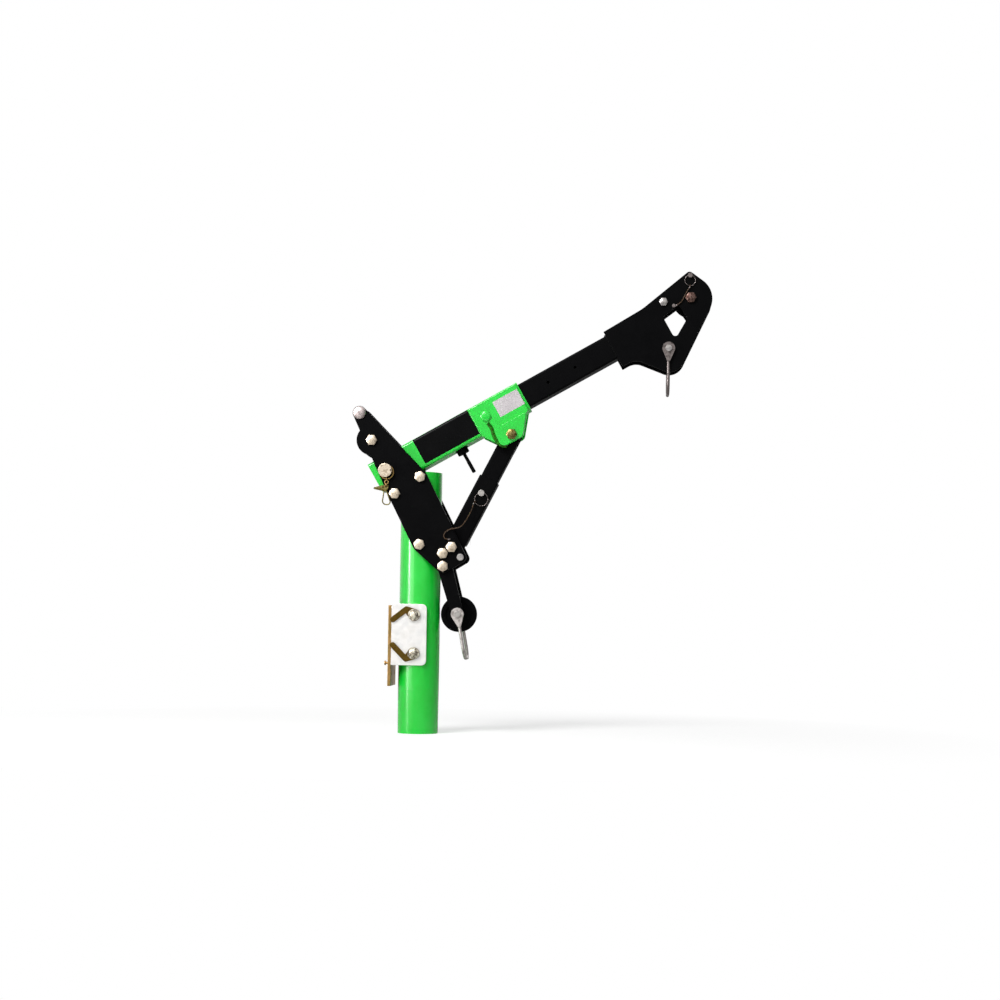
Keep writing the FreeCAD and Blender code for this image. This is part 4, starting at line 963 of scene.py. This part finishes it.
@dataclass
class Welds(Assembly):
    """Rippled weld beads under the paint, where plates and bosses are joined to tubes.

    Attributes:
        size: Radius of a bead.
        seam: Radius of the bead behind a doubler.
        seam_line: Points of that bead along and square to the boom, in millimetres.
        seam_steps: Rings between two of those points.
        pitch: Distance from one ripple to the next.
        ripple: Share of the radius that a ripple adds.
        samples: Rings in each ripple.
        sleeve: Distance of the sleeve's faces from its middle.
        gusset: Start, end, lower and upper edge of the gusset's welds, in the boom's axes.
        boss: Radius of the clamp boss's weld.
        inner: Distance of the inner boom's faces from its middle.
        head: Start, end and height of the head plates' welds, in the boom's axes.
        gap: Distance that a bead across a plate's end stays from its corners.
        cheek_gap: Distance that the bracket's beads stay under the top of the cheeks.
    """

    size: float = 2.2 * MM
    seam: float = 4.2 * MM
    seam_line: tuple[tuple[float, float], ...] = (
        (277, -18), (279, -33), (275.5, -51), (275, -69), (281, -83), (291, -89))
    seam_steps: int = 20
    pitch: float = 3.2 * MM
    ripple: float = 0.16
    samples: int = 4
    sleeve: float = 38.1 * MM
    gusset: tuple[float, float, float, float] = (250 * MM, 384 * MM, -32 * MM, 34 * MM)
    boss: float = 15 * MM
    inner: float = 31.75 * MM
    head: tuple[float, float, float] = (638 * MM, 770 * MM, 31 * MM)
    gap: float = 3 * MM
    cheek_gap: float = 8 * MM

    def bead(self, sketch: Sketch, path: Sequence[Vector], closed: bool = False) -> None:
        """Lays a bead along evenly spaced points, which may come back to their start."""
        radii = [self.size * (1 + self.ripple * abs(math.sin(math.pi * number / self.samples)))
                 for number in range(len(path))]
        sweep(sketch, path, radii, closed=closed)

    def straight(self, name: str, body: str, slot: Slot,
                 lines: Sequence[tuple[Vector, Vector]], finish: Finish | None = None) -> None:
        """Lays straight beads as one piece.

        Args:
            name: Name of the piece.
            body: Body that it moves with.
            slot: Material slot.
            lines: Start and end of each bead.
            finish: Its own finish, where its slot's isn't right.
        """
        sketch = bmesh.new()
        for start, end in lines:
            count = max(2, round((end - start).length / self.pitch)) * self.samples
            self.bead(sketch, [start.lerp(end, number / count) for number in range(count + 1)])
        self.workshop.piece(name, sketch, body, slot, finish)

    def boss_bead(self) -> None:
        """Lays a bead round the foot of the clamp boss."""
        foot = self.boom.matrix.inverted() @ middle("clamp_boss")
        centre = self.boom.point(foot.x, 0, -self.sleeve)
        turn = (self.boom.matrix.to_3x3() @ Vector((0, 0, -1))).to_track_quat("Z", "Y")
        count = round(math.tau * self.boss / self.pitch) * self.samples
        arms = [Vector((math.cos(math.tau * step / count), math.sin(math.tau * step / count), 0))
                for step in range(count)]
        sketch = bmesh.new()
        self.bead(sketch, [centre + turn @ (arm * self.boss) for arm in arms], closed=True)
        self.workshop.piece("clamp_weld_bead", sketch, "boom_sleeve", Slot.BLACK_PAINT)

    def doubler_shade_bead(self) -> None:
        """Lays a broad dark bead down the rear edge of the near doubler, as painted shade along that edge."""
        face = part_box("gusset_plates")[0].y
        corners = [self.boom.point(s * MM, face, q * MM) for s, q in self.seam_line]
        path = []
        for number, (start, end) in enumerate(zip(corners, corners[1:])):
            before = corners[max(number - 1, 0)]
            after = corners[min(number + 2, len(corners) - 1)]
            path += interpolate_bezier(start, start + (end - before) / 6, end - (after - start) / 6, end,
                                       self.seam_steps)[:-1]
        sketch = bmesh.new()
        replace(self, size=self.seam).bead(sketch, path)
        self.workshop.piece("doubler_shade_bead", sketch, "boom_sleeve", Slot.GREEN_PAINT, SEAM_PAINTED_SHADE)

    def build(self) -> None:
        """Lays all the beads."""
        lines = []
        start, end, foot, top = self.gusset
        for side in Side:
            corners = [self.boom.point(s, side.value * self.sleeve, q)
                       for s, q in ((start, foot), (start, top), (end, top), (end, foot))]
            lines += zip(corners, corners[1:])
        self.straight("sleeve_weld_beads", "boom_sleeve", Slot.GREEN_PAINT, lines)
        self.boss_bead()
        self.doubler_shade_bead()
        lines = []
        start, end, top = self.head
        for side in Side:
            y = side.value * self.inner
            lines.append((self.boom.point(start, y, self.gap - top),
                          self.boom.point(start, y, top - self.gap)))
            lines += [(self.boom.point(start, y, q), self.boom.point(end, y, q)) for q in (top, -top)]
        self.straight("head_weld_beads", "boom_inner", Slot.BLACK_PAINT, lines)
        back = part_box("bracket_back_plate")[1].x
        low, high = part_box("bracket_cheek_near")
        lines = [(Vector((back, side.value * abs(high.y), low.z + self.gap)),
                  Vector((back, side.value * abs(high.y), high.z - self.cheek_gap))) for side in Side]
        self.straight("bracket_weld_beads", "mast", Slot.PALE_ZINC, lines, CLEAR_ZINC)


@dataclass
class SplitRings(Assembly):
    """Split rings of two turns of flat-coiled wire, through the heads of the quick pins.

    Attributes:
        turns: Turns of the coil.
        samples: Points in each turn.
        wire: Share of the CAD ring's wire that each turn has.
    """

    turns: int = 2
    samples: int = 64
    wire: float = 0.54

    def build(self) -> None:
        """Makes the ring of each pin."""
        for node in ("strut_pin_ring", "keeper_pin_ring"):
            centre, radius, thick = ring_sizes(node)
            wire = self.wire * thick
            rise = 2 * (thick - wire)
            count = self.turns * self.samples
            path = []
            for step in range(count + 1):
                angle = math.tau * step / self.samples
                path.append(centre + Vector((radius * math.cos(angle), rise * (step / count - 0.5),
                                             radius * math.sin(angle))))
            sketch = bmesh.new()
            sweep(sketch, path, [wire] * len(path), segments=10)
            self.workshop.stand_in(node, sketch)


@dataclass
class Lanyard(Assembly):
    """Thin coated wire rope from a quick pin's ring to its anchor, with a crimped eye on its ring.

    Attributes:
        node: CAD node that it stands for.
        body: Body that carries it.
        ring: CAD node of the split ring that its eye goes round.
        length: Length along its line; not used.
        route: Control points of its line, in millimetres.
        diameter: Diameter over the jacket.
        strands: Strands laid round the core.
        lay: Length of one turn of a strand.
        strand: Radius of a strand.
        sunk: Depth of a strand in the jacket over its radius.
        ferrule: Length of a crimp.
        grip: Radius of a crimp.
        ease: Width of its eased edges.
        groove: Depth of the groove round its middle.
        eye: Radius of the eye's loop.
        eye_rope: Radius of its rope.
        eye_steps: Points round it.
        eye_offset: Distance of its middle outside the split ring's.
    """

    node: str
    body: str
    ring: str
    length: float
    route: tuple[tuple[float, float, float], ...]
    diameter: float = 2.4 * MM
    strands: int = 6
    lay: float = 14 * MM
    strand: float = 0.36 * MM
    sunk: float = 0.2
    ferrule: float = 7 * MM
    grip: float = 2.1 * MM
    ease: float = 0.5 * MM
    groove: float = 0.4 * MM
    eye: float = 3.3 * MM
    eye_rope: float = 1.0 * MM
    eye_steps: int = 28
    eye_offset: float = 0.5 * MM

    def line(self, thickness: float) -> bpy.types.Curve:
        """Gives the lanyard's line as a curve.

        Args:
            thickness: Radius of its round section, or zero for a bare line.

        Returns:
            The curve.
        """
        curve = bpy.data.curves.new(f"{self.node}_line", "CURVE")
        curve.dimensions = "3D"
        curve.bevel_depth = thickness
        curve.bevel_resolution = 4
        curve.use_fill_caps = True
        curve.resolution_u = 12
        spline = curve.splines.new("NURBS")
        spline.points.add(len(self.route) - 1)
        for point, place in zip(spline.points, self.route):
            point.co = (*(number * MM for number in place), 1.0)
        spline.order_u = 3
        spline.use_endpoint_u = True
        return curve

    def points(self) -> list[Vector]:
        """Reads the points of the line as Blender draws it."""
        bare = bpy.data.objects.new(f"{self.node}_bare", self.line(0.0))
        mesh = bpy.data.meshes.new_from_object(bare)
        places = [corner.co.copy() for corner in mesh.vertices]
        bpy.data.meshes.remove(mesh)
        bpy.data.objects.remove(bare)
        return places

    def build(self) -> None:
        """Makes the rope, its strands, crimps and eye."""
        curve = self.line(self.diameter / 2)
        curve.materials.append(self.workshop.finish(ROPE_JACKET))
        rope = bpy.data.objects.new(f"{self.node}_rope", curve)
        bpy.context.collection.objects.link(rope)
        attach(rope, self.body)
        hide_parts(self.node)
        path = self.points()
        strands = self.lay_strands(path)
        crimps = self.crimp(path)
        eye = self.wrap_eye(path[0])
        LOG.info("%s: %d points along its line", self.node, len(path))

    def lay_strands(self, path: Sequence[Vector]) -> bpy.types.Object:
        """Lays the strands round the line.

        Args:
            path: Points of the line.

        Returns:
            The strands as one piece.
        """
        sketch = bmesh.new()
        offset = self.diameter / 2 - self.sunk * self.strand
        side = Vector((0, 1, 0))
        frames = []
        run = 0.0
        for number, point in enumerate(path):
            ahead = path[min(number + 1, len(path) - 1)]
            behind = path[max(number - 1, 0)]
            along = (ahead - behind).normalized()
            side = (side - side.dot(along) * along).normalized()
            run += (point - behind).length
            frames.append((point, side.copy(), along.cross(side), run))
        for strand in range(self.strands):
            phase = math.tau * strand / self.strands
            places = []
            for point, first, second, run in frames:
                angle = phase + math.tau * run / self.lay
                places.append(point + offset * (math.cos(angle) * first + math.sin(angle) * second))
            sweep(sketch, places, [self.strand] * len(places), segments=6)
        return self.workshop.piece(f"{self.node}_strands", sketch, self.body, Slot.LANYARD_WIRE, ROPE_STRAND)

    def crimp(self, path: Sequence[Vector]) -> bpy.types.Object:
        """Sets a pressed ferrule near each end of the line.

        Args:
            path: Points of the line.

        Returns:
            The ferrules as one piece.
        """
        sketch = bmesh.new()
        waist = self.ferrule / 2
        rings = disc(self.grip, self.ferrule, self.ease, self.ease)
        rings[2:2] = [Ring(self.grip, waist - self.ease), Ring(self.grip - self.groove, waist),
                      Ring(self.grip, waist + self.ease)]
        for points in (path, path[::-1]):
            along = points[1] - points[0]
            place = Matrix.Translation(points[0]) @ along.to_track_quat("Z", "Y").to_matrix().to_4x4()
            raise_form(sketch, rings, place, segments=20)
        return self.workshop.piece(f"{self.node}_crimps", sketch, self.body, Slot.BARE_STEEL, DARK_STEEL)

    def wrap_eye(self, end: Vector) -> bpy.types.Object:
        """Wraps a small eye of rope round the wire of the split ring.

        Args:
            end: End of the line beside the ring.

        Returns:
            The eye.
        """
        centre, radius, _ = ring_sizes(self.ring)
        out = Vector((end.x - centre.x, 0, end.z - centre.z)).normalized()
        middle_of_eye = centre + out * (radius + self.eye_offset)
        path = []
        for step in range(self.eye_steps):
            angle = math.tau * step / self.eye_steps
            arm = math.cos(angle) * out + math.sin(angle) * Vector((0, 1, 0))
            path.append(middle_of_eye + self.eye * arm)
        sketch = bmesh.new()
        sweep(sketch, path, [self.eye_rope] * self.eye_steps, segments=10, closed=True)
        return self.workshop.piece(f"{self.node}_eye", sketch, self.body, Slot.LANYARD_WIRE, ROPE_STRAND)


# Control points of the lanyards' lines, in millimetres
STRUT_ROUTE = (
    (133.2, -31, 577.3), (129.5, -40, 559), (121.5, -50, 541.5), (113, -60, 525), (103, -66, 512.5),
    (86, -66, 510), (69.5, -66, 505), (61, -65.5, 493), (66.5, -64.5, 481.5), (79, -63.9, 483.5),
)
KEEPER_ROUTE = (
    (660.8, -42.4, 1120.4), (652.3, -42.4, 1108.3), (645.3, -42.2, 1092), (637.3, -41.2, 1079.5),
    (625.8, -40.3, 1073.2),
)


@dataclass
class Panels(Assembly):
    """Two bare vinyl panels on the boom's near side: a dark one on the sleeve, a pale one on the gusset.

    Attributes:
        thickness: Thickness of the film.
        dark: Start, end, lower and upper edge of the dark panel in the boom's axes, measured along the film.
        pale: The same for the pale panel.
        sleeve_face: Distance of the sleeve's face from the middle.
        sleeve_corner: Radius of the sleeve's long edges, which the dark film runs over.
        lift: Gap under the film.
        rows: Rows of faces across the film.
        rounding: Radius of the film's corners over the height of a row.
    """

    thickness: float = 0.3 * MM
    dark: tuple[float, float, float, float] = (93 * MM, 248 * MM, -30 * MM, 38 * MM)
    pale: tuple[float, float, float, float] = (312 * MM, 381 * MM, -20 * MM, 22 * MM)
    sleeve_face: float = 38.1 * MM
    sleeve_corner: float = 7 * MM
    lift: float = 0.03 * MM
    rows: int = 34
    rounding: float = 0.8

    def over_edge(self, face: float, reach: float, height: float) -> tuple[float, float]:
        """Bends the film over the sleeve's rounded upper edge.

        Args:
            face: Distance of the face from the middle.
            reach: Height along the film.
            height: Height of the point off the face.

        Returns:
            Y and the height square to the boom.
        """
        flat = self.sleeve_face - self.sleeve_corner
        if reach <= flat:
            return -face - height, reach
        turn = (reach - flat) / self.sleeve_corner
        radius = self.sleeve_corner + height
        return self.sleeve_corner - face - radius * math.cos(turn), flat + radius * math.sin(turn)

    def panel(self, name: str, edges: tuple[float, float, float, float],
              face: float, finish: Finish) -> None:
        """Lays a rounded rectangle of film on a face.

        Args:
            name: Name of the piece.
            edges: Start, end, lower and upper edge.
            face: Distance of the face from the middle.
            finish: Film's finish.
        """
        start, end, low, high = edges
        sketch = bmesh.new()
        bmesh.ops.create_grid(sketch, x_segments=1, y_segments=self.rows, size=0.5)
        bmesh.ops.scale(sketch, vec=(end - start, high - low, 1), verts=sketch.verts)
        corners = [corner for corner in sketch.verts if len(corner.link_edges) == 2]
        bmesh.ops.bevel(sketch, geom=corners, offset=self.rounding * (high - low) / self.rows, segments=4,
                        profile=0.5, affect="VERTICES", material=-1)
        made = bmesh.ops.extrude_face_region(sketch, geom=list(sketch.faces))
        bmesh.ops.translate(sketch, vec=(0, 0, self.thickness), verts=new_verts(made))
        for corner in sketch.verts:
            s = (start + end) / 2 + corner.co.x
            y, q = self.over_edge(face, (low + high) / 2 + corner.co.y, self.lift + corner.co.z)
            corner.co = self.boom.point(s, y, q)
        self.workshop.piece(name, sketch, "boom_sleeve", Slot.GREEN_PAINT, finish)

    def build(self) -> None:
        """Lays both panels."""
        gusset_face = -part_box("gusset_plates")[0].y
        self.panel("sleeve_dark_panel", self.dark, self.sleeve_face, DARK_FILM)
        self.panel("gusset_pale_panel", self.pale, gusset_face, PALE_FILM)


@dataclass
class ClampScrew(Assembly):
    """Threaded clamp screw under the sleeve, with a turned grip end.

    Attributes:
        pitch: Thread pitch.
        depth: Depth of the thread.
        valley: Height of a thread's root over the pitch.
        plain: Share of the length that is plain at the outer end.
        foot_ease: Width of the eased edge of that end.
        top_ease: Width of the eased edge of the other end.
    """

    pitch: float = 2 * MM
    depth: float = 0.7 * MM
    valley: float = 0.6
    plain: float = 0.42
    foot_ease: float = 1.2 * MM
    top_ease: float = 1.0 * MM

    def build(self) -> None:
        """Makes the screw."""
        sketch = merged("clamp_screw")
        bmesh.ops.transform(sketch, matrix=self.boom.matrix.inverted(), verts=sketch.verts)
        low, high = extent(sketch.verts)
        sketch.free()
        radius = (high.x - low.x) / 2
        length = high.z - low.z
        split = self.plain * length
        rings = [Ring(radius - self.foot_ease, 0), Ring(radius, self.foot_ease), Ring(radius, split)]
        for number in range(int((length - split - self.pitch) / self.pitch)):
            start = split + number * self.pitch
            rings += [Ring(radius - self.depth, start + self.valley * self.pitch),
                      Ring(radius, start + self.pitch)]
        rings += [Ring(radius - self.top_ease, length)]
        foot = Matrix.Translation(((low.x + high.x) / 2, (low.y + high.y) / 2, low.z))
        sketch = bmesh.new()
        raise_form(sketch, rings, self.boom.matrix @ foot, segments=32)
        self.workshop.stand_in("clamp_screw", sketch)


@dataclass(frozen=True)
class Lamp:
    """Soft rectangular lamp.

    Attributes:
        name: Name of the lamp.
        place: Where it stands.
        aim: What it points at.
        size: Width and height.
        power: Power in watts.
        mirrored_only: Whether it shows in shiny surfaces alone and lights nothing.
    """

    name: str
    place: tuple[float, float, float]
    aim: tuple[float, float, float]
    size: tuple[float, float]
    power: float
    mirrored_only: bool = False

    def build(self) -> None:
        """Adds the lamp to the scene."""
        data = bpy.data.lights.new(self.name, "AREA")
        data.shape = "RECTANGLE"
        data.size, data.size_y = self.size
        data.energy = self.power
        made = bpy.data.objects.new(self.name, data)
        made.location = self.place
        made.rotation_euler = (Vector(self.aim) - Vector(self.place)).to_track_quat("-Z", "Y").to_euler()
        made.visible_diffuse = not self.mirrored_only
        bpy.context.collection.objects.link(made)


@dataclass
class Studio:
    """Camera of the picture, its lights and the pale floor.

    Attributes:
        camera_place: Where the camera stands.
        camera_roll: Small tilt of the picture.
        sensor: Width of the camera's sensor, in millimetres.
        focal: Focal length over the sensor's width.
        shift: Offset of the picture's middle.
        sight: Distance that the camera sees.
        lamps: Broad key from the left, a strip and a panel that draw the mast's highlight, and a back fill.
        sky: Strength of the light from all round.
        dark_side: Share of the white ground that is mirrored on the right, where the studio is dark.
        dark_band: X of a mirrored direction between which the studio darkens.
        floor_radius: Reach of the floor.
        paper: Colour of the floor as the davit mirrors it and is lit by it.
        shade: Colour of the part of the floor near the davit that takes shadow.
        glow: Light that this part adds of its own.
        shadow_reach: Distances from the davit between which the floor's shading fades out.
    """

    camera_place: tuple[float, float, float] = (0.5035, -5.1, 0.2913)
    camera_roll: float = math.radians(-1)
    sensor: float = 36.0
    focal: float = 2.04
    shift: tuple[float, float] = (-0.121, 0.120)
    sight: float = 200.0
    lamps: tuple[Lamp, ...] = (
        Lamp("key", (-1.4, -2.85, 3.1), (0.15, 0, 0.6), (1.6, 1.6), 150.0),
        Lamp("strip", (-2.07, -1.24, 0.7), (0, 0, 0.5), (0.16, 2.6), 52.0, mirrored_only=True),
        Lamp("sheen", (-2.1, -2.3, 0.7), (0, 0, 0.5), (1.3, 2.6), 30.0, mirrored_only=True),
        Lamp("back_fill", (0.6, 3.4, 2.4), (0.1, 0, 0.6), (2.2, 2.2), 28.0),
    )
    sky: float = 0.13
    dark_side: float = 0.12
    dark_band: tuple[float, float] = (0.4, 0.8)
    floor_radius: float = 30.0
    paper: str = "#F4F4F2"
    shade: str = "#C4C4C4"
    glow: float = 0.62
    shadow_reach: tuple[float, float] = (0.7, 1.5)

    def camera(self) -> None:
        """Sets the camera up."""
        data = bpy.data.cameras.new("camera")
        data.sensor_width = self.sensor
        data.lens = self.focal * self.sensor
        data.shift_x, data.shift_y = self.shift
        data.clip_end = self.sight
        made = bpy.data.objects.new("camera", data)
        made.location = self.camera_place
        made.rotation_euler = (math.radians(90), self.camera_roll, 0)
        bpy.context.collection.objects.link(made)
        bpy.context.scene.camera = made

    def world(self) -> None:
        """Lights the scene softly all round, on a white ground wherever the sky is seen or mirrored."""
        world = bpy.data.worlds.new("studio")
        world.use_nodes = True
        bpy.context.scene.world = world
        tree = world.node_tree
        tree.nodes.clear()
        ray = add_node(tree, "LightPath")
        seen = add_node(tree, "Math", {"operation": "MAXIMUM"},
                        {0: ray.outputs["Is Camera Ray"], 1: ray.outputs["Is Transmission Ray"]})
        bearing = add_node(tree, "SeparateXYZ", links={0: add_node(tree, "TexCoord").outputs["Generated"]})
        flag = add_node(tree, "MapRange", {"From Min": self.dark_band[0], "From Max": self.dark_band[1],
                                           "To Min": 1.0, "To Max": self.dark_side},
                        {"Value": bearing.outputs["X"]})
        mirrored = add_node(tree, "Math", {"operation": "MULTIPLY"},
                            {0: ray.outputs["Is Glossy Ray"], 1: flag.outputs["Result"]})
        shown = add_node(tree, "Math", {"operation": "MAXIMUM"},
                         {0: seen.outputs["Value"], 1: mirrored.outputs["Value"]})
        strength = add_node(tree, "MapRange", {"To Min": self.sky, "To Max": 1.0},
                            {"Value": shown.outputs["Value"]})
        ground = add_node(tree, "Background", {"Color": (1, 1, 1, 1)},
                          {"Strength": strength.outputs["Result"]})
        add_node(tree, "OutputWorld", links={"Surface": ground.outputs["Background"]})

    def floor(self) -> None:
        """Lays a white floor that keeps a soft shadow and runs into the ground behind."""
        sketch = bmesh.new()
        bmesh.ops.create_circle(sketch, cap_ends=True, segments=96, radius=self.floor_radius)
        mesh = bpy.data.meshes.new("studio_floor")
        sketch.to_mesh(mesh)
        sketch.free()
        made = bpy.data.objects.new("studio_floor", mesh)
        bpy.context.collection.objects.link(made)
        skin = bpy.data.materials.new("matt_white_floor")
        skin.use_nodes = True
        tree = skin.node_tree
        tree.nodes.clear()
        ray = add_node(tree, "LightPath")
        paper = add_node(tree, "BsdfDiffuse", {"Color": linear(self.paper)})
        shaded = add_node(tree, "BsdfDiffuse", {"Color": linear(self.shade)})
        bright = add_node(tree, "Emission", {"Color": (1, 1, 1, 1), "Strength": self.glow})
        white = add_node(tree, "Emission", {"Color": (1, 1, 1, 1), "Strength": 1.0})
        near = add_node(tree, "AddShader", links={0: shaded.outputs["BSDF"], 1: bright.outputs["Emission"]})
        place = add_node(tree, "TexCoord").outputs["Object"]
        reach = add_node(tree, "VectorMath", {"operation": "LENGTH"}, {0: place})
        start, end = self.shadow_reach
        fade = add_node(tree, "MapRange", {"From Min": start, "From Max": end},
                        {"Value": reach.outputs["Value"]})
        lit = add_node(tree, "MixShader", links={0: fade.outputs["Result"], 1: near.outputs["Shader"],
                                                 2: white.outputs["Emission"]})
        seen = add_node(tree, "MixShader", links={0: ray.outputs["Is Camera Ray"], 1: paper.outputs["BSDF"],
                                                  2: lit.outputs["Shader"]})
        add_node(tree, "OutputMaterial", links={"Surface": seen.outputs["Shader"]})
        mesh.materials.append(skin)

    def build(self) -> None:
        """Sets up the whole studio."""
        bpy.context.scene.view_settings.view_transform = "Standard"
        self.camera()
        for lamp in self.lamps:
            lamp.build()
        self.world()
        self.floor()


def main() -> None:
    """Builds the studio, the finishes and every sub-assembly."""
    logging.basicConfig(level=logging.INFO, format="%(name)s: %(message)s")
    Studio().build()
    workshop = Workshop()
    workshop.dress_frame()
    shared = workshop, BoomAxes()
    fasteners = Fasteners(*shared)
    for assembly in (
            Plating(*shared),
            fasteners,
            RoundHeads(*shared, fasteners),
            Welds(*shared),
            SplitRings(*shared),
            Panels(*shared),
            ClampScrew(*shared),
            Lanyard(*shared, "strut_lanyard", "strut_lower", "strut_pin_ring", 151 * MM, STRUT_ROUTE),
            Lanyard(*shared, "keeper_lanyard", "boom_inner", "keeper_pin_ring", 60.2 * MM, KEEPER_ROUTE,
                    ferrule=5 * MM),
    ):
        assembly.build()


if __name__ == "__main__":
    main()
